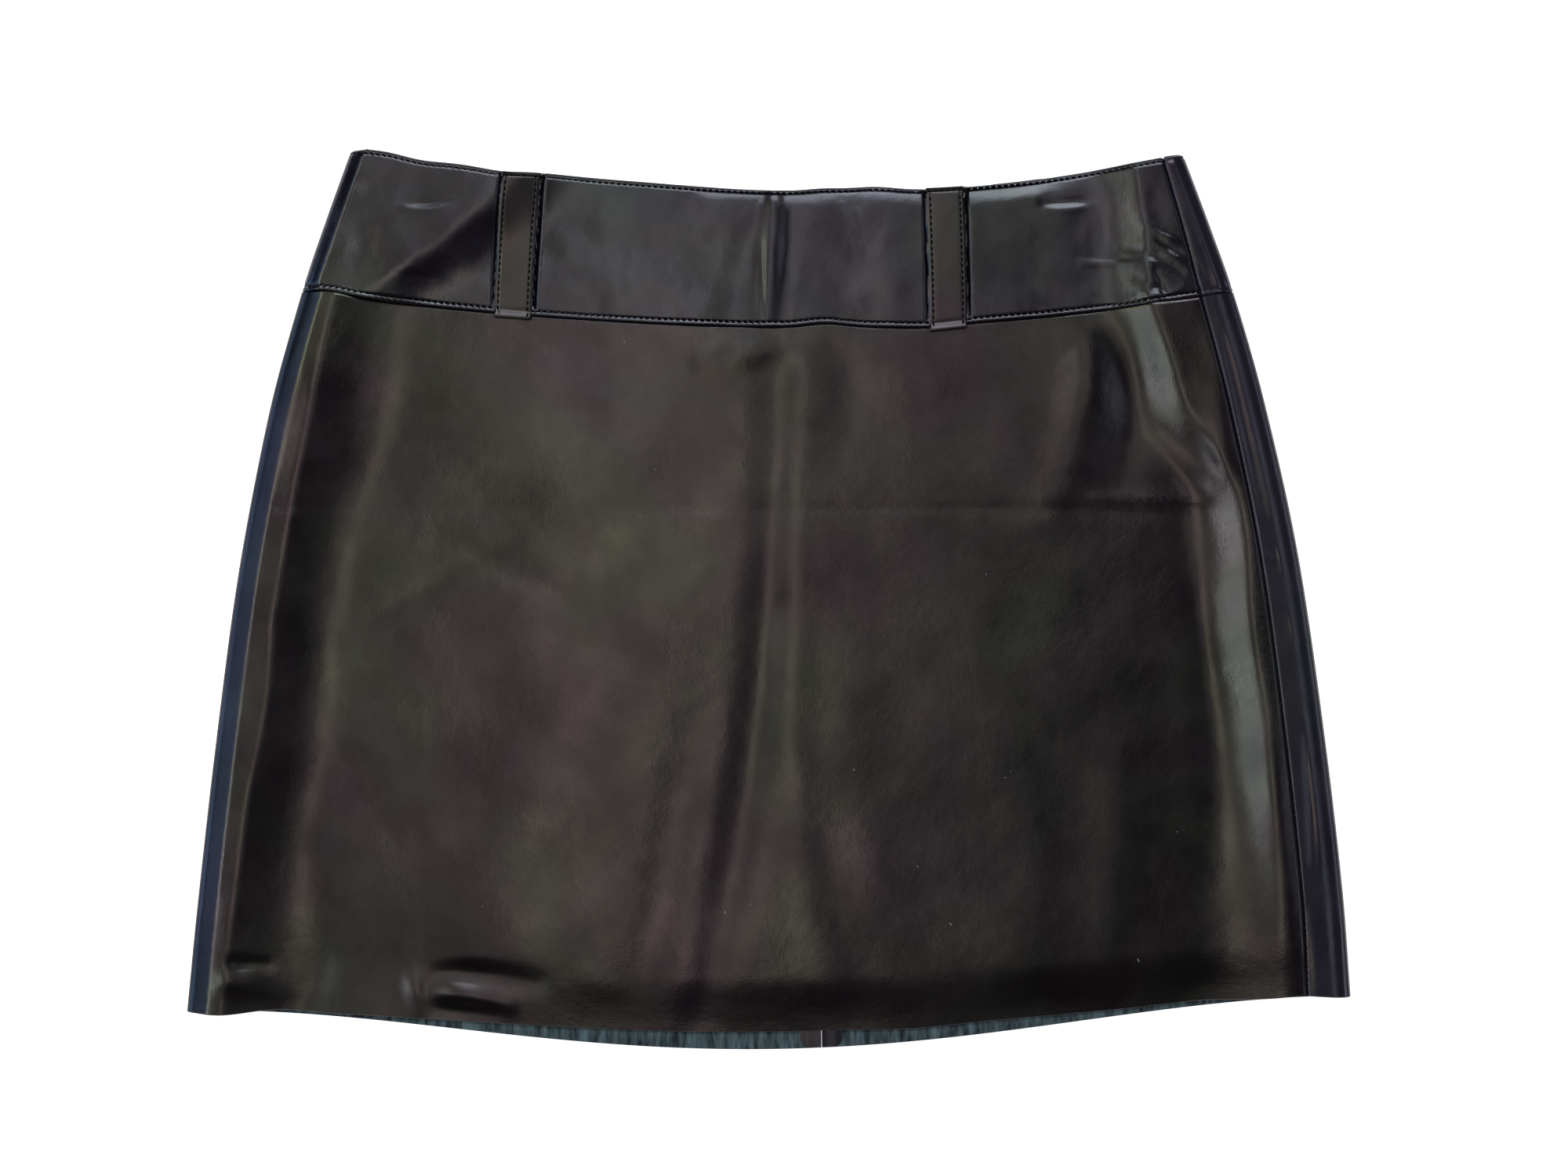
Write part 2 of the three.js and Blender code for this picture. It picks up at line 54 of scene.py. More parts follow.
# x of the folded edges, what lies between each and its side seam, and x of the centre back.
EDGES = [
    # down, left, right, strip, wrap, centre_back
    (0, -191.0, 189.5, 9.8, 22.0, 16.0),
    (32, -202.8, 201.4, 12.4, 22.8, 16.8),
    (63, -213.2, 212.3, 15.1, 23.5, 17.5),
    (112, -227.0, 226.2, 16.4, 24.3, 18.6),
    (184, -241.4, 242.0, 17.6, 25.2, 20.2),
    (270, -253.2, 254.5, 18.6, 26.1, 22.0),
    (342, -261.5, 262.7, 19.3, 26.8, 23.4),
    (389, -266.2, 266.2, 20.2, 27.2, 24.3),
]
# How far each level sags at its middle, in front and behind, how round the sag is, and how it leans.
DROPS = [
    # down, front, back, bow, lean
    (0, 16.4, 17.6, 1.0, 1.9),
    (63, 16.2, 17.0, 1.0, 1.1),
    (112, 15.6, 17.2, 1.15, 0.6),
    (184, 14.9, 18.0, 1.4, 0.3),
    (270, 14.1, 19.2, 1.75, 0.0),
    (342, 13.4, 20.3, 2.05, 0.0),
    (389, 13.1, 21.2, 2.2, 0.0),
]
# Small waves of the front's edges, which fade out up and down the skirt.
WAVE_REACH = 22
EDGE_WAVES = [
    # x, width, level, up
    (-178, 15, 0, 1.6),
    (-158, 10, 0, -0.5),
    (-121, 13, 0, -1.2),
    (26, 12, 0, 1.3),
    (48, 14, 0, 1.9),
    (-199, 12, WAIST_SEAM, 1.5),
    (26, 13, WAIST_SEAM, 1.8),
    (72, 16, WAIST_SEAM, -1.1),
    (-250, 13, HEM, -1.4),
    (-221, 14, HEM, 1.2),
    (66, 22, HEM, -1.0),
    (199, 22, HEM, 1.1),
    (243, 12, HEM, 1.2),
]
EDGE_COLUMNS = ("left", "right", "strip", "wrap", "centre_back")
DROP_COLUMNS = ("front", "back", "bow", "lean")
# Height and reach of the rolled edges, height of the flat middle, and how the front comes down from each
# edge: how far it stays level, at some levels, and the lengths over which its fall begins, keeps on and ends,
# with what they are stretched by.
BODY_LIE = {
    "roll": 9.4,
    "reach": 10.5,
    "middle": 3.5,
    "left": [
        # down, level for, stretch
        (63, 3.0, 1.0),
        (88, 3.5, 1.15),
        (120, 6.5, 1.1),
        (145, 6.5, 1.0),
        (174, 7.0, 0.95),
        (217, 6.5, 1.0),
        (235, 9.0, 0.95),
        (253, 9.0, 0.95),
        (289, 5.5, 1.0),
        (325, 5.0, 1.0),
        (361, 3.5, 1.15),
        (389, 3.0, 1.2),
    ],
    "left_fall": (5, 8, 30),
    "right": [
        (63, 20.0, 1.0),
        (90, 17.5, 1.0),
        (112, 17.0, 1.0),
        (148, 2.5, 1.0),
        (175, 2.0, 1.0),
        (217, 6.5, 1.0),
        (253, 4.5, 1.0),
        (290, 5.0, 1.05),
        (318, 4.5, 1.3),
        (340, 4.5, 1.5),
        (389, 6.0, 1.8),
    ],
    "right_fall": (5, 5, 22),
}
# Soft ridges (height above 0) and troughs (below 0) that run through three points.
BODY_CREASES = [
    # from, by, to, width, height
    ((3, 118), (-3.0, -30), (-31, -190), 9.0, -0.85),  # centre fold
    ((20, 118), (9, -30), (30, -197), 9, 0.35),  # and its right bank
    ((-60, -196), (-52, -150), (-34, -60), 11, -0.55),  # long soft valleys towards the hem
    ((-118, -150), (-104, -60), (-96, 30), 17, 0.4),
    ((-85, -150), (-78, -70), (-66, 10), 17, 0.25),
    ((60, -190), (48, -120), (34, -50), 15, 0.3),
    ((120, -190), (110, -100), (95, 0), 20, 0.3),
    ((150, -185), (158, -130), (160, -60), 11, 0.35),
    ((-150, -179), (-138, -181), (-120, -185), 4.6, 1.5),  # hem waves
    ((-150, -171), (-134, -171), (-106, -175), 5.0, -1.3),
    ((-163, -172), (-162, -178), (-160, -186), 4, 0.8),
    ((-150, -187), (-140, -188), (-126, -189), 4, -0.9),
    ((-246, -166), (-240, -166), (-230, -167), 3, -1.1),
    ((-250, -174), (-240, -174), (-226, -178), 6, 0.9),
    ((-206, -158), (-206, -170), (-212, -182), 7, -0.4),
    ((140, 120), (146, 96), (128, 44), 12, 1.2),  # hip waves at the right
    ((166, 122), (168, 90), (160, 52), 8, -0.6),
    ((190, 100), (196, 80), (200, 64), 5, -0.5),
    ((206, 96), (208, 74), (210, 60), 5, 0.5),
    ((176, 78), (188, 66), (204, 52), 3.5, 0.45),
    ((190, 30), (200, -20), (206, -90), 8, -0.45),  # along the right side seam
    ((226, -60), (230, -100), (234, -150), 7, 0.5),
    ((-150, 28), (-110, 10), (-72, -12), 6, -0.3),  # slanted creases at the left
    ((-180, -8), (-150, 10), (-118, 27), 5, -0.3),
    ((-170, 20), (-130, 26), (-100, 22), 9, 0.35),
    ((-228, 43.5), (-20, 41.5), (160, 43), 2.0, -0.17),  # where it was folded across
    ((150, 47), (176, 47.5), (200, 46), 3.5, 0.6),
    ((104, 41.5), (150, 41), (198, 40), 4.0, -0.25),
    ((-30, 108), (-11, 112.5), (6, 117), 6.5, 0.95),  # under the waist seam
    ((-110, 114), (-60, 108), (-30, 112), 14, -0.45),
    ((22, 122), (36, 100), (32, 66), 9, -0.5),
    ((50, 120), (70, 90), (76, 40), 18, 0.45),
    ((-160, 120), (-168, 90), (-178, 50), 12, -0.35),
]
CREASE_STEPS = 16  # straight steps that a crease's path is followed in
CREASE_END = 0.45  # share of a crease's height that is left at its two ends
PEAK = 1.4  # the left fold is a little peaked where it turns on to the front
ROLL_STEPS = 40
HEM_TURN = 26.0  # the front bulges a little this far above the hem
HEM_BULGE = 1.15
BULGE_FADES = (42.0, 15.0)  # above it and below it
HEM_DIP = 0.3
QUIET_EDGE = 9.0  # creases are weaker this near a rolled edge and this near the waist seam
EASED_OVER = np.array([-12, -6, 0, 6, 12])  # levels over which the width of the level part is averaged
BODY_ROLLING = ((60.0, 0.50), (24.0, 0.19), (9.0, 0.035))  # size and height of the leather's slow unevenness


def on_curve(table, names, down):
    """The table's columns at the levels in down, on a smooth curve through its rows."""
    rows = np.array(table, float)
    levels = rows[:, 0]
    i = np.clip(np.searchsorted(levels, down, side="right"), 1, len(levels) - 1)
    low, high = rows[i - 1], rows[i]
    before, after = rows[np.maximum(i - 2, 0)], rows[np.minimum(i + 1, len(levels) - 1)]
    span = (high[:, 0] - low[:, 0])[:, None]
    t = (down[:, None] - low[:, :1]) / span
    start = (high - before) / (high[:, :1] - before[:, :1]) * span
    end = (after - low) / (after[:, :1] - low[:, :1]) * span
    value = low * (2 * t**3 - 3 * t**2 + 1) + start * (t**3 - 2 * t**2 + t)
    value += high * (3 * t**2 - 2 * t**3) + end * (t**3 - t**2)
    return {name: value[:, k + 1 : k + 2] for k, name in enumerate(names)}


def level_of(down, lie):
    """Where the laid skirt's edges and seams are at each level, as columns."""
    down = np.asarray(down, float)
    inside = np.clip(down, 0, HEM)
    at = {**on_curve(EDGES, EDGE_COLUMNS, inside), **on_curve(DROPS, DROP_COLUMNS, inside)}
    at["down"] = down[:, None]
    at["lie"] = lie
    at["left_end"] = at["left"] + lie["reach"]
    at["right_end"] = at["right"] - lie["reach"]
    at["right_seam"] = at["right"] - at["strip"]
    at["left_seam"] = at["left"] + at["wrap"]
    return at


def y_of(x, at, layer):
    """y on the front layer (1), the back layer (0) or between them."""
    share = (x - at["left"]) / (at["right"] - at["left"])
    left_y = LEFT_TOP - at["down"] * LEFT_STRETCH
    right_y = RIGHT_TOP - at["down"] * RIGHT_STRETCH
    drop = at["back"] * (1 - layer) + at["front"] * layer
    middleness = np.maximum(0, 1 - (2 * share - 1) ** 2)
    leaning = at["lean"] * np.sin(2 * np.pi * share)
    for wave_x, width, wave_level, up in EDGE_WAVES:
        near = bell(x, wave_x, width) * bell(at["down"], wave_level, WAVE_REACH)
        leaning = leaning + up * near * layer
    return left_y + (right_y - left_y) * share - drop * middleness ** at["bow"] + leaning


def smooth(value, low, high):
    """0 below low, 1 above high, and a soft step between them."""
    t = np.clip((value - low) / (high - low), 0, 1)
    return t * t * (3 - 2 * t)


def bell(value, middle, width):
    """1 at the middle, fading softly to 0 on both sides."""
    return np.exp(-(((value - middle) / width) ** 2))


def crease_height(x, y, crease):
    """Height of one soft ridge or trough, round across and fading out at its ends."""
    start, by, end, width, height = crease
    nearest = np.full(np.shape(x), np.inf)
    along = np.zeros(np.shape(x))
    samples = np.linspace(0, 1, CREASE_STEPS + 1)
    path = [
        [
            start[k] * (1 - t) * (1 - 2 * t) + by[k] * 4 * t * (1 - t) + end[k] * t * (2 * t - 1)
            for k in (0, 1)
        ]
        for t in samples
    ]
    for t, (ax, ay), (bx, by_) in zip(samples, path, path[1:]):
        length = (bx - ax) ** 2 + (by_ - ay) ** 2
        f = np.clip(((x - ax) * (bx - ax) + (y - ay) * (by_ - ay)) / length, 0, 1)
        away = np.hypot(x - ax - f * (bx - ax), y - ay - f * (by_ - ay))
        closer = away < nearest
        nearest = np.where(closer, away, nearest)
        along = np.where(closer, t + f / CREASE_STEPS, along)
    fade = CREASE_END + (1 - CREASE_END) * np.sin(np.pi * along)
    return height * fade * bell(nearest, 0, width)


def unevenness(x, y, sizes, seed):
    """Slow hills and dips of the given sizes and heights."""
    total = np.zeros(x.shape)
    for k, (size, height) in enumerate(sizes):
        for i, j in np.ndindex(x.shape):
            spot = Vector((x[i, j] / size, y[i, j] / size, seed + 7.3 * k))
            total[i, j] += height * noise.noise(spot)
    return total


def fallen(past, begin, keep, end):
    """Share of a fall that is done: its slope grows, stays, and fades out again."""
    way = np.linspace(0, begin + keep + end, 120)
    slope = smooth(way, 0, begin) * (1 - smooth(way, begin + keep, begin + keep + end))
    done = np.cumsum(slope)
    return np.interp(past, way, done / done[-1])


def front_height(x, at, creases=(), rolling=(), seed=0.0):
    """Height of the front's face: down from both rolled edges to the middle, with creases and unevenness."""
    lie = at["lie"]
    z = lie["middle"] + 0 * x
    inside = 1 + 0 * x
    on_body = lie is BODY_LIE
    for name, from_edge in (("left", x - at["left_end"]), ("right", at["right_seam"] - x)):
        levels, widths, stretches = np.array(lie[name]).T
        nearby = at["down"][:, :, None] + EASED_OVER
        width = np.interp(nearby, levels, widths).mean(axis=2)
        stretch = np.interp(nearby, levels, stretches).mean(axis=2)
        still_up = 1 - fallen((from_edge - width) / stretch, *lie[name + "_fall"])
        z += (lie["roll"] - lie["middle"]) * still_up
        inside *= smooth(from_edge, 0, QUIET_EDGE)
    y = y_of(x, at, 1)
    relief = np.zeros(np.shape(z))
    settled = 0.1 + 0.9 * smooth(at["down"], WAIST_SEAM, WAIST_SEAM + QUIET_EDGE) if on_body else 1.0
    for crease in creases:
        relief += crease_height(x, y, crease)
    if rolling:
        relief += unevenness(x, y, rolling, seed)
    return z + relief * settled * (0.25 + 0.75 * inside)


def roll(at, side):
    """x, layer and z round a rolled edge: up from behind at the left, down to behind at the right."""
    turn = np.linspace(0, 1, ROLL_STEPS)[None, :]
    edge, way, peak = at["left"], 1, np.where(turn > 0.5, PEAK, 1.0)
    if side == "right":
        edge, way, turn, peak = at["right"], -1, turn[:, ::-1], 1.0
    level_part = np.sin(np.pi * turn).clip(0) ** peak
    upright_part = np.sign(turn - 0.5) * np.abs(np.cos(np.pi * turn)) ** peak
    x = edge + way * at["lie"]["reach"] * (1 - level_part)
    return x, turn + 0 * x, at["lie"]["roll"] / 2 * (1 + upright_part) + 0 * x


def across(start, end, count):
    """Even places from the column start to the column end, a row for each level."""
    return start + (end - start) * np.linspace(0, 1, count)[None, :]


def end_to_end(*stretches):
    """Joins stretches of a section, each given as x, layer and z, into one."""
    filled = [[part + 0 * x for part in (x, layer, z)] for x, layer, z in stretches]
    return [np.hstack([filled[0][k]] + [stretch[k][:, 1:] for stretch in filled[1:]]) for k in range(3)]


def way_along(points):
    """How far along a path of points each of them is."""
    return np.concatenate([[0], np.cumsum(np.linalg.norm(np.diff(points, axis=0), axis=1))])


def placed(places, way, values):
    """Each column of the values at the given places along a way."""
    return np.stack([np.interp(places, way, column) for column in values.T], axis=1)


def even_grid(x, layer, z, at, shares):
    """Points at the given shares of each row's own length, and how far along the row they are."""
    y = y_of(x, at, layer)
    points, along = [], []
    for row in np.stack([x, y, z], axis=2):
        way = way_along(row)
        along.append(shares * way[-1])
        points.append(placed(along[-1], way, row))
    return np.array(points), np.array(along)


def edge_shares(length, spacing, fine=()):
    """Shares of a length at an even spacing, with finer ones at the two ends."""
    middle = np.linspace(0.0, 1.0, max(2, round(length / spacing)))
    ends = np.array([f / length for f in fine if f / length < middle[1]])
    return np.unique(np.round(np.concatenate([middle, ends, 1.0 - ends]), 7))


def normals_of(grid):
    """Which way each point of a grid of points faces."""
    down = np.gradient(grid, axis=0)
    along = np.gradient(grid, axis=1)
    normal = np.cross(down, along)
    return normal / np.maximum(np.linalg.norm(normal, axis=2, keepdims=True), 1e-9)


CUT_SLANT = 0.4  # how far the suede side reaches past the dyed side at a cut edge
SMOOTH_UNDER = math.radians(42)  # edges sharper than this stay sharp


def new_object(name, data):
    """A new object in the scene."""
    made = bpy.data.objects.new(name, data)
    bpy.context.scene.collection.objects.link(made)
    return made


def choose(*pieces):
    """Selects these pieces alone, the first of them active."""
    bpy.ops.object.select_all(action="DESELECT")
    for piece in pieces:
        piece.select_set(True)
    if pieces:
        bpy.context.view_layer.objects.active = pieces[0]


def leather_piece(name, outer, along, down, wall, materials, rims=("cut", "cut"), wear_and_highlight=None):
    """A closed sheet of leather: outer face, inner face, and a folded or a cut rim at its top and bottom.
    Its UV map is its place on the flat cut, in metres, and its attribute of pale places marks where it is
    rubbed and where a highlight is painted on it."""
    normal = normals_of(outer)
    inner = outer - normal * np.reshape(wall, (-1, 1, 1))
    if rims[1] == "cut":
        onward = outer[-1] - outer[-2]
        inner[-1] += onward / np.linalg.norm(onward, axis=1, keepdims=True) * CUT_SLANT
    ring = [outer]
    kinds = [0] * (len(outer) - 1)

    def rim(edge, before, kind):
        outside, inside = outer[edge], inner[edge]
        if kind == "cut":
            return [], [2]
        middle, arm = (outside + inside) / 2, (outside - inside) / 2
        away = outer[edge] - outer[before]
        away /= np.maximum(np.linalg.norm(away, axis=1, keepdims=True), 1e-9)
        reach = np.linalg.norm(arm, axis=1, keepdims=True)
        turns = [math.pi * k / 4 for k in (1, 2, 3)]
        return [middle + arm * math.cos(t) + away * reach * math.sin(t) for t in turns], [0] * 4

    bottom, bottom_kinds = rim(-1, -2, rims[1])
    top, top_kinds = rim(0, 1, rims[0])
    ring += [np.array(bottom)] if bottom else []
    ring.append(inner[::-1])
    ring += [np.array(top)[::-1]] if top else []
    kinds += bottom_kinds + [1] * (len(outer) - 1) + top_kinds
    points = np.concatenate(ring)
    rows, columns = points.shape[:2]
    cells = np.arange(rows * columns).reshape(rows, columns)
    below = np.roll(cells, -1, axis=0)
    quads = np.stack([cells[:, :-1], below[:, :-1], below[:, 1:], cells[:, 1:]], axis=2).reshape(-1, 4)
    face_kinds = np.repeat(kinds, columns - 1)
    count = len(outer)
    first_inner = count + len(bottom)
    caps = []
    for i in range(count - 1):
        o, n = i, first_inner + count - 1 - i
        caps.append([cells[o, 0], cells[n, 0], cells[n - 1, 0], cells[o + 1, 0]])
        caps.append([cells[o, -1], cells[o + 1, -1], cells[n - 1, -1], cells[n, -1]])
    for rim_rows in (range(count - 1, first_inner + 1), [*range(first_inner + count - 1, rows), 0]):
        if len(rim_rows) > 2:
            caps.append([cells[r, 0] for r in rim_rows][::-1])
            caps.append([cells[r, -1] for r in rim_rows])
    mesh = bpy.data.meshes.new(name)
    faces = quads.tolist() + [list(map(int, cap)) for cap in caps]
    mesh.from_pydata((points.reshape(-1, 3) * MM).tolist(), [], faces)
    for material in materials:
        mesh.materials.append(material)
    last = len(materials) - 1
    kinds_all = np.concatenate([face_kinds, np.full(len(caps), 2)])
    mesh.polygons.foreach_set("material_index", np.minimum(kinds_all, last).astype(np.int32))
    order = [*range(count), *([count - 1] * len(bottom)), *reversed(range(count)), *([0] * len(top))]
    u = along[order].reshape(-1)
    v = np.broadcast_to(np.asarray(down, float)[order][:, None], (rows, columns)).reshape(-1)
    flat = np.stack([u, v], axis=1) * MM
    corner = np.zeros(len(mesh.loops), np.int32)
    mesh.loops.foreach_get("vertex_index", corner)
    mesh.uv_layers.new(name="cut").data.foreach_set("uv", flat[corner].astype(np.float32).reshape(-1))
    rubbed_and_highlit = mesh.attributes.new("wear_and_highlight", "FLOAT", "POINT")
    if wear_and_highlight is not None:
        rubbed_and_highlit.data.foreach_set("value", wear_and_highlight[order].astype(np.float32).reshape(-1))
    piece = new_object(name, mesh)
    choose(piece)
    bpy.ops.object.shade_smooth_by_angle(angle=SMOOTH_UNDER)
    return piece


def node_tree(name, **inputs):
    """A new material, its node tree and its Principled shader with the given constant inputs."""
    material = bpy.data.materials.new(name)
    material.use_nodes = True
    tree = material.node_tree
    shader = tree.nodes["Principled BSDF"]
    for key, value in inputs.items():
        shader.inputs[key.replace("_", " ").title().replace("Ior", "IOR")].default_value = value
    return material, tree, shader


def add_node(tree, kind, inputs=(), **settings):
    """A new node with its settings, and its inputs linked to a socket or set to a value."""
    node = tree.nodes.new(kind)
    for key, value in settings.items():
        setattr(node, key, value)
    for key, value in dict(inputs).items():
        if isinstance(value, bpy.types.NodeSocket):
            tree.links.new(value, node.inputs[key])
        else:
            node.inputs[key].default_value = value
    return node


def noise_over(tree, place, scale, detail=2.0, **inputs):
    """Noise over a piece, as a value round one half."""
    values = {"Vector": place, "Scale": scale, "Detail": detail}
    values.update({key.title(): value for key, value in inputs.items()})
    return add_node(tree, "ShaderNodeTexNoise", values).outputs["Fac"]


def spread(tree, value, low, high, to_low=0.0, to_high=1.0):
    """The value's stretch from low to high, spread over another range."""
    limits = {"From Min": low, "From Max": high, "To Min": to_low, "To Max": to_high}
    return add_node(tree, "ShaderNodeMapRange", {"Value": value, **limits}).outputs["Result"]


def two_tones(tree, value, tones, positions):
    """A colour between two tones, as the value goes from one position to the other."""
    ramp = add_node(tree, "ShaderNodeValToRGB", {"Fac": value})
    for element, tone, position in zip(ramp.color_ramp.elements, tones, positions):
        element.color = (*tone, 1)
        element.position = position
    return ramp.outputs["Color"]


def blended(tree, share, first, second):
    """A colour that goes from the first to the second with a share."""
    colours = {"Factor": share, "A": first, "B": second}
    return add_node(tree, "ShaderNodeMix", colours, data_type="RGBA").outputs["Result"]


def bumped(tree, height, strength, distance, under=None):
    """A normal tilted by a height, on top of the normal under it."""
    inputs = {"Strength": strength, "Distance": distance, "Height": height}
    if under is not None:
        inputs["Normal"] = under
    return add_node(tree, "ShaderNodeBump", inputs).outputs["Normal"]


# Pale grey of rubbed places. Along folds, wrinkles and the right seam it also paints the highlights there.
RUBBED_AND_HIGHLIGHT_TONE = (0.075, 0.07, 0.072, 1)


def leather(name, dark, warm, rough, grain=0.05, tints=((1.0, 0.80, 0.88), (0.95, 1.0, 0.82))):
    """Semi-gloss nappa: slow patches of two browns, fine pebbled grain, rubbed places paler and duller; this
    paleness also paints highlights along folds, wrinkles and seams.
    """
    material, tree, shader = node_tree(name, coat_weight=0.12, coat_roughness=0.2)
    place = add_node(tree, "ShaderNodeTexCoord").outputs["Object"]
    patches = noise_over(tree, place, 17.0, 3.0)
    ground = blended(tree, spread(tree, patches, 0.36, 0.66), (*dark, 1), (*warm, 1))
    # Paler in patches where the piece is rubbed. These places also paint highlights along folds, wrinkles and
    # seams.
    rubbed_and_highlit = add_node(tree, "ShaderNodeAttribute", attribute_name="wear_and_highlight").outputs["Fac"]
    pale_patches = spread(tree, noise_over(tree, place, 420.0, 4.0, roughness=0.7), 0.42, 0.62)
    pale_share = add_node(tree, "ShaderNodeMath", {0: pale_patches, 1: rubbed_and_highlit}, operation="MULTIPLY").outputs["Value"]
    colour = blended(tree, pale_share, ground, RUBBED_AND_HIGHLIGHT_TONE)
    tree.links.new(colour, shader.inputs["Base Color"])
    finish = noise_over(tree, place, 23.0, 6.0, roughness=0.6)
    tree.links.new(spread(tree, finish, 0.3, 0.7, 0.36, 0.66), shader.inputs["Specular IOR Level"])
    hues = noise_over(tree, place, 13.0, 5.0, distortion=0.4)
    tree.links.new(two_tones(tree, hues, tints, (0.36, 0.64)), shader.inputs["Specular Tint"])
    cloudy = noise_over(tree, place, 36.0, 5.0)
    tree.links.new(spread(tree, cloudy, 0.3, 0.7, rough - 0.05, rough + 0.06), shader.inputs["Roughness"])
    pebbles = add_node(tree, "ShaderNodeTexVoronoi", {"Vector": place, "Scale": 1500.0}).outputs["Distance"]
    normal = bumped(tree, pebbles, grain * 4, 0.00005)
    normal = bumped(tree, noise_over(tree, place, 2600.0), grain, 0.00005, normal)
    normal = bumped(tree, noise_over(tree, place, 150.0, 3.0), 0.12, 0.0008, normal)
    tree.links.new(normal, shader.inputs["Normal"])
    return material


def cut_edge_material():
    """The leather's raw edge: pale grey-brown fibres between the dyed faces."""
    material, tree, shader = node_tree("raw_cut_edge", roughness=0.9)
    place = add_node(tree, "ShaderNodeTexCoord").outputs["Object"]
    fibres = noise_over(tree, place, 900.0, 4.0)
    tones = ((0.03, 0.03, 0.032), (0.2, 0.19, 0.185))
    tree.links.new(two_tones(tree, fibres, tones, (0.35, 0.68)), shader.inputs["Base Color"])
    return material


def suede_material():
    """The flesh side: blue-grey nap with paler, combed streaks."""
    sheen = {"sheen_weight": 0.4, "sheen_roughness": 0.5}
    material, tree, shader = node_tree("suede_flesh_side", roughness=0.95, **sheen)
    place = add_node(tree, "ShaderNodeTexCoord").outputs["Object"]
    combing = {"Vector": place, "Scale": (1.0, 0.22, 1.0)}
    combed = add_node(tree, "ShaderNodeMapping", combing).outputs["Vector"]
    nap = noise_over(tree, combed, 330.0, 8.0, roughness=0.62)
    tones = ((0.009, 0.017, 0.020), (0.155, 0.230, 0.225))
    tree.links.new(two_tones(tree, nap, tones, (0.36, 0.74)), shader.inputs["Base Color"])
    fuzz = noise_over(tree, place, 1800.0, 3.0)
    tree.links.new(bumped(tree, fuzz, 0.5, 0.0003), shader.inputs["Normal"])
    return material


nappa = leather("nappa_panels", (0.0044, 0.0022, 0.0038), (0.0034, 0.0034, 0.0022), 0.20, grain=0.09)
raw_edge = cut_edge_material()
suede = suede_material()
GRID = 2.1  # spacing of a panel's mesh
SEAM_FINE = (0.4, 0.8, 1.3)  # finer steps of the mesh beside a seam
at_waist_seam = WAIST_SEAM + np.array([-TUCK, -3, -0.6, 0.2, 1.0])
below_it = np.linspace(WAIST_SEAM + 2.2, HEM, round((HEM - WAIST_SEAM) / GRID))
panel_downs = np.concatenate([at_waist_seam, below_it])
# Pale lines along the fold across the front, the right hip wrinkle and the right side seam. They are rubbed
# places, and they also paint the highlights that run along them.
RUBBED_AND_HIGHLIT = [
    # from, by, to, width, strength
    ((-227, 42), (-222, 41), (-214, 41), 2.5, 0.45),
    ((-43, 42), (-30, 41), (-18, 41), 2.0, 0.55),
    ((36, 41), (58, 41), (80, 41), 1.6, 0.4),
    ((152, 46), (176, 47), (196, 46), 3.5, 0.3),
    ((222, 28), (226, -30), (232, -70), 3, 0.25),
]


TUCK_DEPTH_ON_FOLD = 1.6
TUCK_DEPTH_ON_FLAT = 0.55
FLAT_FROM_LEFT = 27  # how far in from each fold the front is flat
FLAT_FROM_RIGHT = 30


def tucked(grid, downs, at):
    """Moves the rows above the waist seam in, under the waistband, less over the flat of the front."""
    share = 1 - smooth(downs, WAIST_SEAM - 0.6, WAIST_SEAM + 1.0)
    normal = normals_of(grid)
    x = grid[:, :, 0]
    past_left = smooth(x, at["left_end"], at["left_end"] + FLAT_FROM_LEFT)
    before_right = 1 - smooth(x, at["right_end"] - FLAT_FROM_RIGHT, at["right_end"])
    on_flat = past_left * before_right * smooth(normal[:, :, 2], 0, 0.9)
    depth = TUCK_DEPTH_ON_FOLD + (TUCK_DEPTH_ON_FLAT - TUCK_DEPTH_ON_FOLD) * on_flat
    return grid - normal * (share[:, None] * depth)[:, :, None]


SEAM_DIP = 0.45
SEAM_DIP_WIDTH = 1.0


def seam_dip(x, seam):
    """How far a panel's edge turns down beside a seam."""
    return SEAM_DIP * np.clip(1 - np.abs(x - seam) / SEAM_DIP_WIDTH, 0, 1) ** 2


def hem_relief(x, at):
    """The front bulges a little above the hem, most in the middle, and turns down at its very edge."""
    before_hem = at["down"] - HEM + HEM_TURN
    bulge = HEM_BULGE * bell(before_hem, 0, np.where(before_hem < 0, *BULGE_FADES))
    share = smooth(x, -160, -112) * (0.6 + 0.4 * smooth(x, -70, 10)) * (1 - 0.5 * smooth(x, 190, 230))
    return (bulge - HEM_DIP * smooth(before_hem, 0, HEM_TURN)) * share


def rubbed_and_highlit_at(grid, places):
    """How much each point of a grid is rubbed and painted paler as a highlight, on the front alone."""
    total = np.zeros(grid.shape[:2])
    for place in places:
        total = np.maximum(total, crease_height(grid[:, :, 0], grid[:, :, 1], place))
    return total * (grid[:, :, 2] > 2.5)


at = level_of(panel_downs, BODY_LIE)
behind_x = across(at["left_seam"] - SEAM_GAP / 2, at["left_end"], 14)
front_x = across(at["left_end"], at["right_seam"] - SEAM_GAP / 2, 320)
front_z = front_height(front_x, at, BODY_CREASES, BODY_ROLLING, 3.1) - seam_dip(front_x, at["right_seam"])
panel_shares = edge_shares(500, GRID, SEAM_FINE)
over_fold = (0.03, 0.125)  # of the panel's width, where its mesh is finer
panel_shares = panel_shares[(panel_shares < over_fold[0] - 0.002) | (panel_shares > over_fold[1] + 0.002)]
panel_shares = np.union1d(panel_shares, np.linspace(*over_fold, 52))
front_z += hem_relief(front_x, at)
girth = end_to_end((behind_x, 0, 0), roll(at, "left"), (front_x, 1, front_z))
outer, along = even_grid(*girth, at, panel_shares)
outer = tucked(outer, panel_downs, at)
panel_front = outer
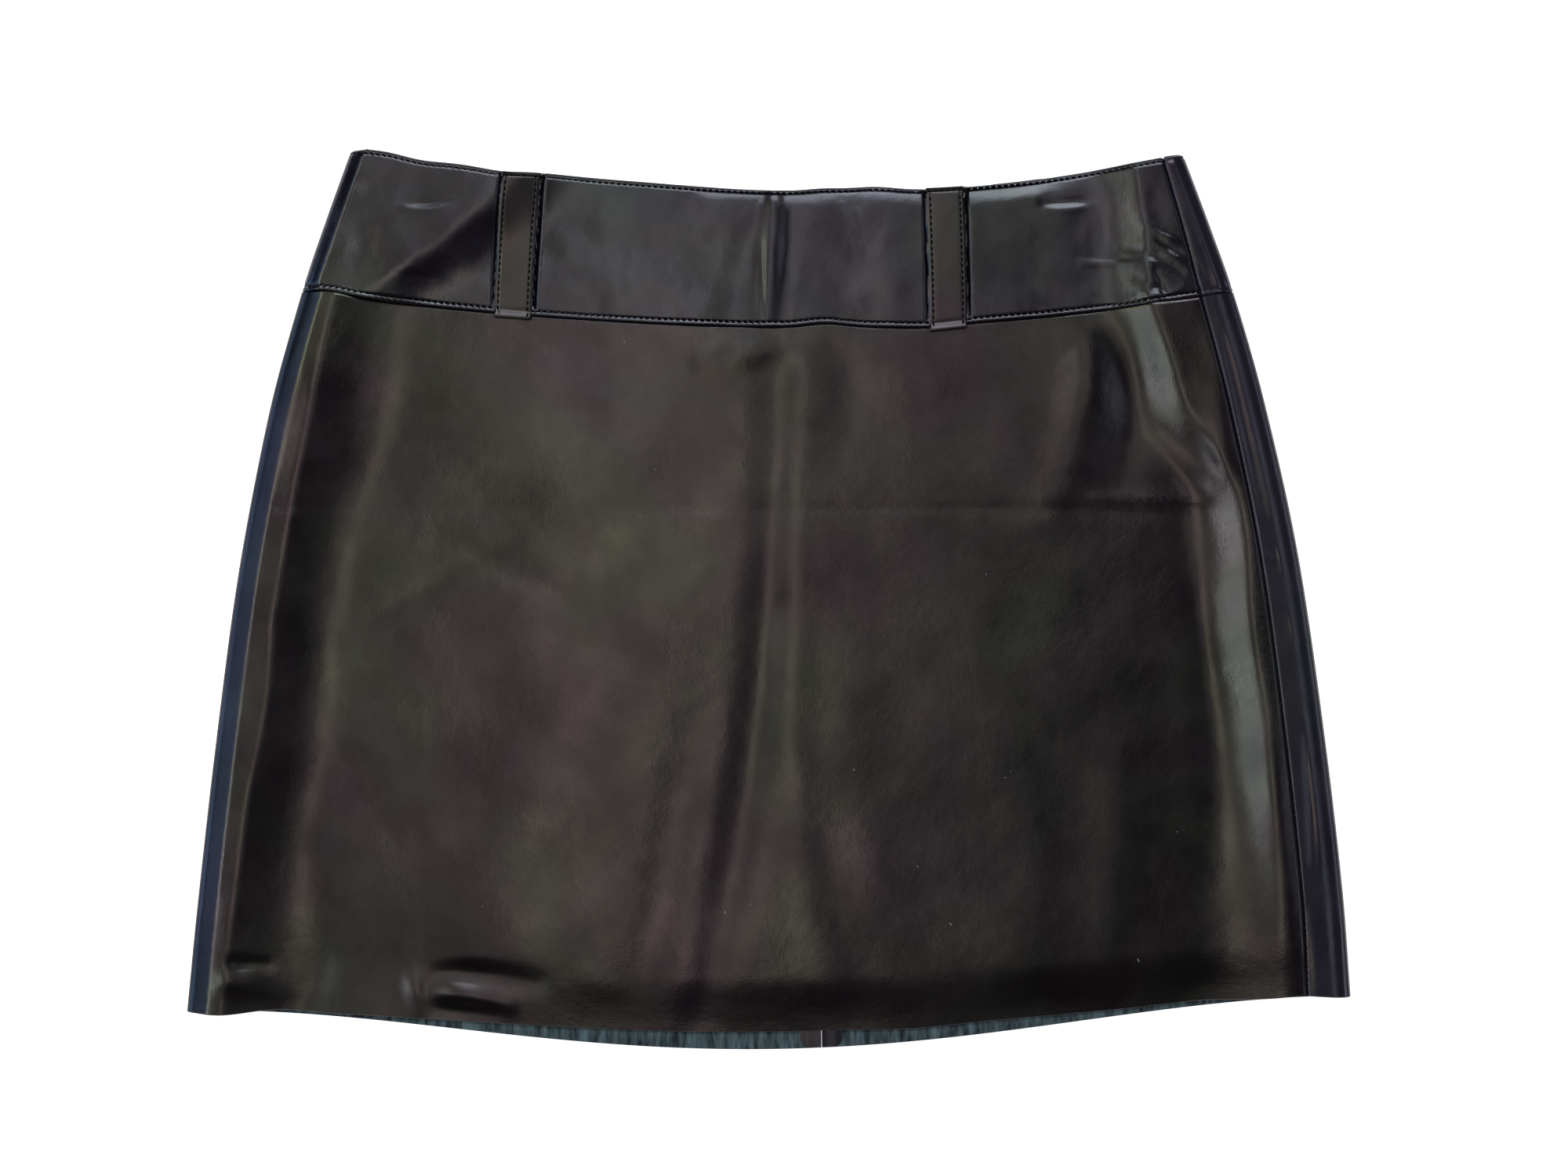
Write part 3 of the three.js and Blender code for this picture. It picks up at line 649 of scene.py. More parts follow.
panel_wall = 0.55 + (SKIN - 0.55) * smooth(panel_downs, WAIST_SEAM - 1, WAIST_SEAM + 2)
front_panel = leather_piece(
    "front_panel_leather",
    outer,
    along,
    panel_downs,
    panel_wall,
    [nappa, suede, raw_edge],
    wear_and_highlight=rubbed_and_highlit_at(outer, RUBBED_AND_HIGHLIT),
)
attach(front_panel, "skirt")
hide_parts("front_panel")

# Back right panel. It comes round the right fold on to the front, where a plain seam joins it to the front
# panel, and lies flat behind up to the zip. Its suede side shows below the front's hem.
CENTRE_GAP = 0.24
BACK_GRID = 2.6  # spacing of a back panel's mesh
# A paler, bluer copy of the nappa for the back pieces and the loops' cut sides. Its colour paints the cool
# light on the strip that comes round the right fold.
nappa_with_painted_light = leather("nappa_turned_painted_light", (0.0150, 0.0135, 0.0220), (0.0135, 0.0138, 0.0195), 0.21, grain=0.08)
BACK_SIDES = [nappa_with_painted_light, suede, raw_edge]
strip_x = across(at["right_seam"] + SEAM_GAP / 2, at["right_end"], 16)
behind_x = across(at["right_end"], at["centre_back"] + CENTRE_GAP / 2, 60)
STRIP_CREASES = [
    ((228, 22), (232, 21), (237, 20), 1.6, -0.45),
    ((226, 17), (231, 15.5), (236, 15), 1.3, -0.35),
    ((238, -8), (240, -13), (241, -18), 2.4, -0.8),
    ((214, 140), (217, 137), (220, 134), 1.6, -0.3),
    ((245, -60), (247, -90), (248, -120), 2.2, -0.45),
    ((244, -140), (246, -165), (247, -186), 2.0, -0.4),
    ((208, 120), (216, 84), (226, 40), 2.2, -0.35),
]
strip_z = front_height(strip_x, at, STRIP_CREASES) - seam_dip(strip_x, at["right_seam"])
for crease in STRIP_CREASES:
    strip_z += 0.6 * crease_height(strip_x, y_of(strip_x, at, 1), crease)
girth = end_to_end((strip_x, 1, strip_z), roll(at, "right"), (behind_x, 0, 0))
strip_and_fold = np.linspace(0, 0.13, 42)
outer, along = even_grid(*girth, at, np.union1d(strip_and_fold, edge_shares(250, BACK_GRID, SEAM_FINE)))
outer = tucked(outer, panel_downs, at)
back_right_panel = leather_piece(
    "back_right_panel_leather", outer, along, panel_downs, panel_wall, BACK_SIDES
)
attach(back_right_panel, "skirt")
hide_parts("back_right_panel")

# Back left panel. It lies flat behind, from the zip to the seam at the left.
across_x = across(at["centre_back"] - CENTRE_GAP / 2, at["left_seam"] + SEAM_GAP / 2, 80)
outer, along = even_grid(*end_to_end((across_x, 0, 0)), at, edge_shares(240, BACK_GRID, SEAM_FINE))
outer = tucked(outer, panel_downs, at)
back_left_panel = leather_piece(
    "back_left_panel_leather", outer, along, panel_downs, panel_wall, BACK_SIDES
)
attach(back_left_panel, "skirt")
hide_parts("back_left_panel")

# Seam allowances of the centre back, below the zip: two strips of nappa folded open and stuck down inside,
# their corners rounded off at the hem.
ALLOWANCE = 9.6
FLAP_TOP = 174.0
rounded_end = HEM - 4 + 3.9 * np.sin(np.linspace(0, 1, 8)[1:] * math.pi / 2)
flap_downs = np.concatenate([np.linspace(FLAP_TOP, HEM - 4, 90), rounded_end])
flap_at = level_of(flap_downs, BODY_LIE)
FLAP_WALL = 0.9
for side, name in ((1, "right"), (-1, "left")):
    corner = 3.0 * np.clip((flap_downs - (HEM - 3.4)) / 3.4, 0, 1)[:, None] ** 2
    seam_edge = flap_at["centre_back"] + side * 0.16
    free_edge = flap_at["centre_back"] + side * (ALLOWANCE - corner)
    x = across(seam_edge, free_edge, 16)[:, ::side]
    away = np.abs(x - flap_at["centre_back"])
    z = SKIN + 0.1 + FLAP_WALL - 0.25 * smooth(away, 6, ALLOWANCE) + 0.2 * bell(away, 0, 1.6)
    flap_y = y_of(x, flap_at, 0) - np.maximum(0, flap_at["down"] - HEM)
    outer = np.stack([x, flap_y, z], axis=2)
    flap = leather_piece(
        f"centre_back_allowance_{name}", outer, x - x[:, :1], flap_downs, FLAP_WALL, BACK_SIDES
    )
    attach(flap, "skirt")

# Front waistband. A shaped band of two layers of nappa, edge-stitched above and below, with a ridge
# where it was folded down the middle and two dents from a hanger's clips.
BAND_WALL = 1.4
FOLDED = ("fold", "fold")  # its rims at the top and the bottom
BAND_FINE = (0.3, 0.55)  # finer steps of the mesh beside a seam
BAND_LIE = {
    "roll": 9.4,
    "reach": 7.5,
    "middle": 4.9,
    "left": [(0, 64, 1.0), (14, 59, 1.0), (34, 40, 1.0), (52, 24, 1.0), (63, 11, 1.0)],
    "left_fall": (13, 1, 32),
    "right": [(0, 10, 1.0), (30, 14, 1.0), (63, 21.5, 1.0)],
    "right_fall": (5, 7, 18),
}
EDGE_STITCH = 1.7  # below the waist edge
SEAM_STITCH = 61.3
PITCH = 2.85  # from stitch to stitch
BAND_CREASES = [
    ((3.8, 196), (1.8, 162), (-1.6, 124), 5.4, 1.0),  # the fold down the middle
    ((10, 190), (8.6, 160), (5, 130), 4.0, -0.3),
    ((-3.2, 164), (-2.8, 146), (-2.2, 128), 0.9, -0.22),
    ((-30, 184), (-8, 186), (-3, 184), 4, 0.35),
    ((-126, 190), (-148, 160), (-174, 134), 9, 0.3),  # a slack diagonal left of the loop
    ((-196, 186), (-170, 190), (-140, 186), 4, -0.45),
    ((-60, 158), (-44, 156), (-28, 160), 9, -0.35),
    ((-90, 172), (-60, 174), (-20, 172), 7, 0.3),
    ((2.0, 190), (2.2, 185), (2.4, 180), 3.4, 0.5),
    ((20, 200), (40, 196), (70, 196), 9, 0.7),
    ((-14, 160), (-16, 140), (-18, 126), 8, -0.4),
    ((30, 170), (36, 150), (30, 128), 14, -0.4),
    ((52, 180), (56, 150), (52, 126), 9, 0.3),
    ((-166, 182.0), (-155, 181.6), (-146, 182.6), 2.4, -0.45),  # clip dents
    ((-166, 178.6), (-155, 178.2), (-145, 180.2), 1.8, 0.4),
    ((126, 182.0), (136, 182.2), (147, 182.6), 2.4, -0.5),
    ((127, 178.8), (137, 179.2), (147, 180.6), 1.8, 0.35),
    ((-186, 176), (-184, 158), (-190, 142), 7, -0.25),  # by the left fold
    ((-166, 172), (-168, 155), (-174, 140), 7, 0.2),
    ((-150, 170), (-142, 158), (-130, 150), 7, 0.25),
    ((-130, 172), (-126, 155), (-124, 140), 8, -0.3),
    ((-100, 140), (-92, 136), (-80, 133), 6, -0.3),
    ((-76, 176), (-70, 150), (-70, 130), 9, 0.25),
    ((143, 154.5), (158, 153.8), (175, 153.2), 1.5, 0.5),  # wrinkles by the right seam
    ((172, 170), (180, 166), (187, 163), 1.2, 0.35),
    ((177, 165), (184, 160.5), (190, 158), 1.1, -0.35),
    ((180, 158), (187, 155), (192, 151), 1.2, 0.4),
    ((160, 161), (174, 158), (188, 150), 1.6, -0.35),
    ((168, 146), (177, 143), (186, 138), 1.5, -0.4),
    ((170, 140), (178, 139), (190, 143), 1.4, 0.35),
    ((176, 150), (179, 144), (181, 136), 1.2, -0.35),
    ((150, 140), (165, 138), (180, 146), 1.3, -0.25),
    ((110, 150), (122, 145), (140, 143), 6, -0.3),
    ((155, 190), (160, 172), (160, 156), 8, -0.4),
]
BAND_ROLLING = ((30.0, 0.40), (13.0, 0.18), (5.0, 0.03))
band_nappa = leather(
    "nappa_waistband",
    (0.0052, 0.0028, 0.0056),
    (0.0040, 0.0040, 0.0036),
    0.20,
    grain=0.09,
    tints=((0.93, 0.86, 1.0), (0.92, 1.0, 0.96)),
)
fine_edge = np.array([0, 0.45, 0.9, 1.3, 1.7, 2.1, 2.6, 3.3])
band_end = WAIST_SEAM - 0.1
band_downs = np.concatenate([fine_edge, np.linspace(4.4, band_end - 4.4, 44), band_end - fine_edge[::-1]])


def band_relief(down, along):
    """Stitched edges: a groove along each row of stitches and a puckered lip outside it."""
    down = np.asarray(down, float)[:, None]
    puckers = np.cos(2 * np.pi * along / PITCH)
    relief = -0.45 * bell(down, EDGE_STITCH, 0.5) * (0.7 + 0.3 * puckers)
    relief -= 0.50 * bell(down, SEAM_STITCH, 0.5) * (0.65 + 0.35 * puckers)
    relief += 0.10 * bell(down, band_end - 0.5, 0.5) * (0.4 - 0.6 * puckers)
    return relief - 1.0 * np.maximum(0, 1 - down / 1.35) ** 1.6


LOOP_WIDTH = 17.0
LOOP_HEIGHT = 1.2
LOOPS = {
    # shares of the width at the waist edge and at the seam
    "front_left": (0.2063, 0.2262),
    "front_right": (0.7132, 0.6938),
    "back_left": (0.34, 0.346),
    "back_right": (0.80, 0.79),
}


def loop_middle(name, at):
    """x of a belt loop's middle at each level."""
    top, bottom = LOOPS[name]
    share = top + (bottom - top) * np.minimum(at["down"] / WAIST_SEAM, 1)
    return at["left"] + (at["right"] - at["left"]) * share


def beside_loops(x, at):
    """The band is pressed down along both edges of each belt loop, more at the right one."""
    total = 0 * x
    for name in ("front_left", "front_right"):
        away = x - loop_middle(name, at)
        total -= 0.9 * bell(away, -8.9, 0.7) + 1.3 * bell(away, 9.1, 1.0)
    return total * (1 - smooth(at["down"], 59, 62))


band_at = level_of(band_downs, BAND_LIE)
behind_x = across(band_at["left_seam"] - SEAM_GAP / 2, band_at["left_end"], 14)
front_x = across(band_at["left_end"], band_at["right_seam"] - SEAM_GAP / 2, 400)
front_z = front_height(front_x, band_at, BAND_CREASES, BAND_ROLLING, 11.7)
front_z -= seam_dip(front_x, band_at["right_seam"])
turned_down = 0.25 + 1.5 * smooth(front_x, -60, -6) * (1 - smooth(front_x, 110, 165))
front_z += beside_loops(front_x, band_at) - turned_down * np.maximum(0, 1 - band_at["down"] / 11) ** 1.7
girth = end_to_end((behind_x, 0, 0), roll(band_at, "left"), (front_x, 1, front_z))
outer, along = even_grid(*girth, band_at, edge_shares(410, 0.75, BAND_FINE))
front_only = smooth(outer[:, :, 2], 0.6, 3)
band_front = outer + normals_of(outer) * (band_relief(band_downs, along) * front_only)[:, :, None]
# Pale lines along the band's left fold and its wrinkles at the right. They are rubbed places, and they also
# paint the highlights on them.
BAND_RUBBED_AND_HIGHLIT = [
    ((-196, 190), (-198, 170), (-206, 146), 1.5, 0.3),
    ((150, 155), (165, 153), (184, 152), 1.5, 0.2),
]
front_waistband = leather_piece(
    "front_waistband_leather",
    band_front,
    along,
    band_downs,
    BAND_WALL,
    [band_nappa, suede, raw_edge],
    rims=FOLDED,
    wear_and_highlight=rubbed_and_highlit_at(band_front, BAND_RUBBED_AND_HIGHLIT),
)
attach(front_waistband, "skirt")
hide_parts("front_waistband")

# Back waistband, in two pieces that meet at the zip. The right one comes round on to the front, up to the
# side seam. Behind, it hollows a little over the belt loops and the zip's pull.
PULL_DEPTH = 26.0


def band_hollow(x, at):
    """Height of the back waistband's outer face above the surface."""
    beside_zip = np.abs(x - at["centre_back"]) - 3.0
    z = 1.4 * (1 - smooth(beside_zip, 0, 11)) * (1 - smooth(at["down"], PULL_DEPTH, 40))
    for name in ("back_left", "back_right"):
        beside = np.abs(x - loop_middle(name, at)) - LOOP_WIDTH / 2 - 0.3
        z = np.maximum(z, (LOOP_HEIGHT + 0.3) * (1 - smooth(beside, 0, 6)))
    return z


def notched(x, at, side):
    """Draws the end of a back waistband piece away from the slider at the waist edge."""
    back_off = 3.3 * (1 - smooth(at["down"], 9.2, 9.9))
    near = 1 - smooth(side * (x - at["centre_back"]), 0, 16)
    return x + side * near * back_off


back_downs = np.unique(np.concatenate([band_downs[::2], [9.2, 9.5, 9.9, band_end]]))
back_at = level_of(back_downs, BAND_LIE)
strip_x = across(back_at["right_seam"] + SEAM_GAP / 2, back_at["right_end"], 16)
behind_x = notched(across(back_at["right_end"], back_at["centre_back"] + CENTRE_GAP / 2, 120), back_at, 1)
STRIP_BAND_CREASES = [
    ((194, 176), (198, 165), (203, 150), 2.0, -0.4),
    ((196, 150), (201, 146), (206, 146), 2.0, -0.35),
]
strip_z = front_height(strip_x, back_at) - seam_dip(strip_x, back_at["right_seam"])
for crease in STRIP_BAND_CREASES:
    strip_z += crease_height(strip_x, y_of(strip_x, back_at, 1), crease)
behind_z = band_hollow(behind_x, back_at)
girth = end_to_end((strip_x, 1, strip_z), roll(back_at, "right"), (behind_x, 0, behind_z))
outer, along = even_grid(*girth, back_at, edge_shares(190, 0.95, BAND_FINE))
front_only = smooth(outer[:, :, 2], 2.4, 4)
outer = outer + normals_of(outer) * (band_relief(back_downs, along) * front_only)[:, :, None]
back_right_waistband = leather_piece(
    "back_right_waistband_leather", outer, along, back_downs, BAND_WALL, BACK_SIDES, rims=FOLDED
)
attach(back_right_waistband, "skirt")
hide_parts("back_right_waistband")

across_x = across(back_at["centre_back"] - CENTRE_GAP / 2, back_at["left_seam"] + SEAM_GAP / 2, 160)
across_x = notched(across_x, back_at, -1)
girth = end_to_end((across_x, 0, band_hollow(across_x, back_at)))
outer, along = even_grid(*girth, back_at, edge_shares(185, 0.95))
back_left_waistband = leather_piece(
    "back_left_waistband_leather", outer, along, back_downs, BAND_WALL, BACK_SIDES, rims=FOLDED
)
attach(back_left_waistband, "skirt")
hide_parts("back_left_waistband")

# Belt loops: two in front and two behind. Each is a folded strip of nappa, stitched down both long edges,
# caught under the waist edge's stitching and turned under over the waist seam.
loop_nappa = leather("nappa_loops", (0.0105, 0.0082, 0.0072), (0.0098, 0.0086, 0.0068), 0.28, grain=0.08)
half_across = np.array([0, 2, 4, 5.6, 6.3, 6.8, 7.3, 7.8, 8.2, 8.5])
loop_across = np.concatenate([-half_across[:0:-1], half_across])


def loop_surface(name, downs):
    """Points of a loop's outer face, and the band's surface under its middle."""
    at = level_of(downs, BAND_LIE)
    x = loop_middle(name, at) + loop_across[None, :]
    edge = np.abs(loop_across)[None, :]
    thick = LOOP_HEIGHT - 0.16 * bell(edge, 6.8, 0.4) - 0.3 * smooth(edge, 7.6, 8.5)
    if name.startswith("front"):
        under = front_height(x, at, BAND_CREASES)
        share = (at["down"] - downs[0]) / (downs[-1] - downs[0])
        stand = 0.30 + 0.5 * np.sin(np.pi * np.clip(share, 0, 1)) ** 0.7
        turned_end = 0.65 * bell(at["down"], WAIST_SEAM + 2.0, 1.7)
        caught_down = 0.25 * bell(at["down"], WAIST_SEAM - 1.2, 0.8)
        z = under + stand + thick + turned_end - caught_down
        z = z - 1.0 * (1 - smooth(at["down"], 0.6, 2.8))
        return np.stack([x, y_of(x, at, 1), z], axis=2), loop_across[None, :] + 0 * x
    x = loop_middle(name, at) - loop_across[None, :]
    return np.stack([x, y_of(x, at, 0), LOOP_HEIGHT - thick + 0 * x], axis=2), loop_across[None, :] + 0 * x


loop_tops = {}
for name in LOOPS:
    front = name.startswith("front")
    lower_end = WAIST_SEAM + 2.0 if front else WAIST_SEAM - 0.4
    top_rows = [0.5, 1.0, 1.6, 2.2, 2.8, 3.6]
    loop_downs = np.concatenate([top_rows, np.linspace(5, 58, 34), np.linspace(59, lower_end, 12)])
    outer, along = loop_surface(name, loop_downs)
    loop_tops[name] = (loop_downs, outer)
    loop = leather_piece(
        f"belt_loop_{name}_leather",
        outer,
        along + 8.5,
        loop_downs,
        LOOP_HEIGHT * 0.78,
        [loop_nappa, suede, nappa_with_painted_light],
        rims=FOLDED,
    )
    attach(loop, "skirt")
    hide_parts(f"belt_loop_{name}")

# Thread: single stitches of matt black thread, drawn into the leather along the waist edge, the waist seam,
# the belt loops' edges and the seam at the right.
STITCH_LENGTH = 2.25
THREAD_RADIUS = 0.36
THREAD_WIDE = 1.15  # stretch of its round section along the leather and away from it
THREAD_FLAT = 0.8
FRONT_ABOVE = 3.4  # the height over which a piece is in front
THREAD_SINKS = 0.16  # how far a stitch's ends go into the leather
thread_material, *_ = node_tree(
    "black_thread", base_color=(0.002, 0.002, 0.003, 1), roughness=0.9, specular_ior_level=0.1
)


def stitches_along(path, first):
    """Heads, tails and surface normals of the stitches along a path, from its first place on."""
    points, normals = path
    way = way_along(points)
    starts = np.arange(first, way[-1] - STITCH_LENGTH, PITCH)
    ends = starts + STITCH_LENGTH
    middles = (starts + ends) / 2
    return placed(starts, way, points), placed(ends, way, points), placed(middles, way, normals)


def thread_rows(name, rows, radius=THREAD_RADIUS):
    """All the stitches of some rows as one mesh of closed, slightly bowed capsules."""
    heads, tails, normals = (np.concatenate([row[k] for row in rows]) for k in range(3))
    lengths = np.linalg.norm(tails - heads, axis=1, keepdims=True)
    along = (tails - heads) / lengths
    up = normals - along * (normals * along).sum(axis=1, keepdims=True)
    up /= np.linalg.norm(up, axis=1, keepdims=True)
    side = np.cross(along, up)
    stations = [
        # share of the length, thickness, lift
        (0.06, 0.55, -0.10),
        (0.25, 0.95, 0.02),
        (0.5, 1.0, 0.07),
        (0.75, 0.95, 0.02),
        (0.94, 0.55, -0.10),
    ]
    rings = []
    for share, fat, lift in stations:
        for t in np.arange(6) * math.pi / 3:
            arm = side * math.cos(t) * THREAD_WIDE + up * math.sin(t) * THREAD_FLAT
            rings.append(heads + along * lengths * share + up * lift + arm * radius * fat)
    tips = [heads - up * THREAD_SINKS, tails - up * THREAD_SINKS]
    points = np.stack(rings + tips, axis=1)
    faces = []
    for s in range(len(stations) - 1):
        for k in range(6):
            a, b = s * 6 + k, s * 6 + (k + 1) % 6
            faces.append([a, a + 6, b + 6, b])
    last = (len(stations) - 1) * 6
    tip = len(stations) * 6
    caps = [[k, (k + 1) % 6, tip] for k in range(6)]
    caps += [[last + (k + 1) % 6, last + k, tip + 1] for k in range(6)]
    size = points.shape[1]
    every = [[v + n * size for v in face] for n in range(len(heads)) for face in faces + caps]
    mesh = bpy.data.meshes.new(name)
    mesh.from_pydata((points.reshape(-1, 3) * MM).tolist(), [], every)
    mesh.shade_smooth()
    mesh.materials.append(thread_material)
    piece = new_object(name, mesh)
    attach(piece, "skirt")
    return piece


def grid_row(grid, downs, down, lift=0.0):
    """The path along a grid of points at one level, and its normals."""
    normal = normals_of(grid)
    i = min(max(np.searchsorted(downs, down), 1), len(downs) - 1)
    f = (down - downs[i - 1]) / (downs[i] - downs[i - 1])
    points, directions = (of[i - 1] * (1 - f) + of[i] * f for of in (grid, normal))
    return points + directions * lift, directions


def grid_column(grid, j, lift=0.0):
    """The path down one column of a grid, and its normals."""
    normal = normals_of(grid)
    return grid[:, j] + normal[:, j] * lift, normal[:, j]


def on_front(path):
    """The part of a path that lies on the front."""
    points, normals = path
    in_front = points[:, 2] > FRONT_ABOVE
    return points[in_front], normals[in_front]


edge_rows = [
    stitches_along(on_front(grid_row(band_front, band_downs, EDGE_STITCH, 0.06)), 1.0),
    stitches_along(on_front(grid_row(band_front, band_downs, SEAM_STITCH, 0.08)), 0.6),
]
thread_rows("thread_front_waistband", edge_rows)
loop_rows = []
for name in ("front_left", "front_right"):
    downs, grid = loop_tops[name]
    for j in (4, 14):
        loop_rows.append(stitches_along(grid_column(grid, j, 0.07), 1.2))
    loop_rows.append(stitches_along(grid_row(grid, downs, EDGE_STITCH + 0.2, 0.05), 0.4))
thread_rows("thread_front_loops", loop_rows)
side_rows = [
    stitches_along(on_front(grid_column(panel_front, -1, -0.12)), 1.0),
    stitches_along(on_front(grid_column(band_front, -1, -0.12)), 1.0),
]
thread_rows("thread_side_seam", side_rows)

# Zip tape: the two woven tapes of the concealed zip inside the centre back, with its coil between them.
TAPE_TOP = 11.0
TAPE_END = 171.0
TAPE_HALF = 11.0
TAPE_WALL = 0.7
tape_material, tape_tree, tape_shader = node_tree(
    "black_tape", base_color=(0.008, 0.008, 0.009, 1), roughness=0.85
)
tape_place = add_node(tape_tree, "ShaderNodeTexCoord").outputs["Object"]
ribs = {"Vector": tape_place, "Scale": 420.0, "Distortion": 0.6}
weave = add_node(tape_tree, "ShaderNodeTexWave", ribs, bands_direction="Y").outputs["Fac"]
tape_tree.links.new(bumped(tape_tree, weave, 0.4, 0.0002), tape_shader.inputs["Normal"])
tape_stretches = [(TAPE_TOP, 60, 26), (61, 70, 12), (72, TAPE_END, 50)]
tape_downs = np.concatenate([np.linspace(*stretch) for stretch in tape_stretches])
tape_at = level_of(tape_downs, BODY_LIE)
band_part = level_of(tape_downs, BAND_LIE)
centre_x = tape_at["centre_back"]
on_band = band_hollow(centre_x, band_part) + BAND_WALL + 0.15
lies_at = on_band + (SKIN + 0.55 - on_band) * smooth(tape_at["down"], 55, 69)
for side, name in ((1, "right"), (-1, "left")):
    x = across(centre_x + side * 0.5, centre_x + side * TAPE_HALF, 12)[:, ::side]
    outer = np.stack([x, y_of(x, tape_at, 0), lies_at + TAPE_WALL + 0 * x], axis=2)
    tape = leather_piece(f"zip_tape_{name}", outer, x - x[:, :1], tape_downs, TAPE_WALL, [tape_material])
    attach(tape, "skirt")
    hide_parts("zip_tape")

# Coil of the zip: small closed loops of nylon that lock the two tapes together.
COIL_PITCH = 1.5
coil_path = np.hstack([centre_x, y_of(centre_x, tape_at, 0), lies_at + TAPE_WALL + 0.1])
coil_way = way_along(coil_path)
links = np.arange(1, coil_way[-1] - 1, COIL_PITCH)
middle = placed(links, coil_way, coil_path)
half_link = np.array([1.5, 0, 0])
slant = np.array([0, 0.35, 0]) * np.where(np.arange(len(links)) % 2, 1, -1)[:, None]
up_axis = np.tile([0.0, 0.0, 1.0], (len(links), 1))
coil_links = (middle - half_link - slant, middle + half_link + slant, up_axis)
coil = thread_rows("zip_coil", [coil_links])

# Zip slider: a small dark metal plate in the notch at the waist edge, with two ears and a pin under it.
PIN = (16.0, 180.76, 1.0)
ALONG_X = (0, math.pi / 2, 0)
metal, metal_tree, metal_shader = node_tree("dark_metal", base_color=(0.09, 0.088, 0.085, 1), metallic=1.0)
metal_place = add_node(metal_tree, "ShaderNodeTexCoord").outputs["Object"]
worn = noise_over(metal_tree, metal_place, 900.0, 3.0)
metal_tree.links.new(spread(metal_tree, worn, 0.0, 1.0, 0.25, 0.45), metal_shader.inputs["Roughness"])


def finished(part, name, bevel=None):
    """Applies a new part's size and place, and rounds its edges off."""
    part.name = name
    bpy.ops.object.transform_apply(location=True, rotation=True, scale=True)
    if bevel:
        rounded = part.modifiers.new("rounded", "BEVEL")
        rounded.width = bevel * MM
        rounded.segments = 2
        bpy.ops.object.modifier_apply(modifier=rounded.name)
    return part


def metal_box(name, x, y, z, bevel):
    """A bevelled block between the given pairs of x, y and z."""
    choose()
    bpy.ops.mesh.primitive_cube_add(size=MM, location=[(a + b) / 2 * MM for a, b in (x, y, z)])
    block = bpy.context.object
    block.scale = [abs(b - a) for a, b in (x, y, z)]
    return finished(block, name, bevel)


def metal_rod(name, radius, half_length):
    """A rod along x through the pin's place."""
    choose()
    size = {"vertices": 28, "radius": radius * MM, "depth": 2 * half_length * MM}
    bpy.ops.mesh.primitive_cylinder_add(**size, location=[c * MM for c in PIN], rotation=ALONG_X)
    return finished(bpy.context.object, name)


def joined(name, pieces, material):
    """Joins metal parts into one piece of one material."""
    choose(*pieces)
    bpy.ops.object.join()
    whole = bpy.context.object
    whole.name = name
    whole.data.materials.clear()
    whole.data.materials.append(material)
    bpy.ops.object.shade_smooth_by_angle(angle=math.radians(35))
    return whole


px, py, _ = PIN
slider = joined(
    "zip_slider_metal",
    [
        metal_box("plate", (px - 3, px + 3), (py - 2.9, py + 5.1), (2.0, 2.9), 0.3),
        metal_box("ear_left", (px - 2.6, px - 1.7), (py - 0.9, py + 0.9), (0.3, 2.1), 0.15),
        metal_box("ear_right", (px + 1.7, px + 2.6), (py - 0.9, py + 0.9), (0.3, 2.1), 0.15),
        metal_rod("pin", 0.35, 2.4),
    ],
    metal,
)
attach(slider, "skirt")
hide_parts("zip_slider")

# Zip pull: a drop-shaped tab on a barrel that turns on the slider's pin.
barrel = metal_rod("barrel", 0.8, 1.5)
neck = metal_box("neck", (px - 0.9, px + 0.9), (py - 6.5, py - 0.5), (0.3, 1.0), 0.2)
choose()
drop_place = (px * MM, (py - 11) * MM, 0.65 * MM)
bpy.ops.mesh.primitive_cylinder_add(vertices=36, radius=1.9 * MM, depth=0.7 * MM, location=drop_place)
drop = bpy.context.object
drop.scale = (1.0, 2.63, 1.0)
finished(drop, "drop", 0.18)
pull = joined("zip_pull_metal", [barrel, neck, drop], metal)
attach(pull, "zip_pull")
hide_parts("zip_pull")

# Lint: a few pale fibres on the leather.
FIBRES = [
    # x, y, turned, length
    (-58.9, 38.2, 80, 0.7),
    (39.1, -77.4, 100, 1.3),
    (110.7, -78.1, 60, 0.6),
    (108.2, -81.0, 20, 0.6),
    (68.2, -121.7, 130, 0.8),
    (83.3, -148.0, 130, 1.9),
    (-20.0, -142.9, 95, 1.5),
    (-8.5, -139.0, 40, 0.6),
    (169.0, -164.5, 120, 1.9),
    (187.0, -105.8, 10, 0.6),
    (-66.1, 118.6, 100, 0.8),
    (99.7, 12.0, 100, 0.7),
    (-131.0, -140.0, 30, 0.5),
    (-52.0, 60.0, 60, 0.5),
]
lint_material, *_ = node_tree("pale_lint", base_color=(0.62, 0.6, 0.58, 1), roughness=0.9)
heads, tails = [], []
surface = bpy.context.evaluated_depsgraph_get()
for fibre_x, fibre_y, turned, length in FIBRES:
    above = Vector((fibre_x * MM, fibre_y * MM, 0.05))
    spot = front_panel.ray_cast(above, Vector((0, 0, -1)), depsgraph=surface)[1]
    step = np.array([math.cos(math.radians(turned)), math.sin(math.radians(turned)), 0]) * length / 2
    place = np.array(spot) / MM + [0, 0, 0.12]
    heads.append(place - step)
    tails.append(place + step)
upright = np.tile([0.0, 0.0, 1.0], (len(heads), 1))
lint = thread_rows("lint", [(np.array(heads), np.array(tails), upright)], radius=0.13)
lint.data.materials.clear()
lint.data.materials.append(lint_material)

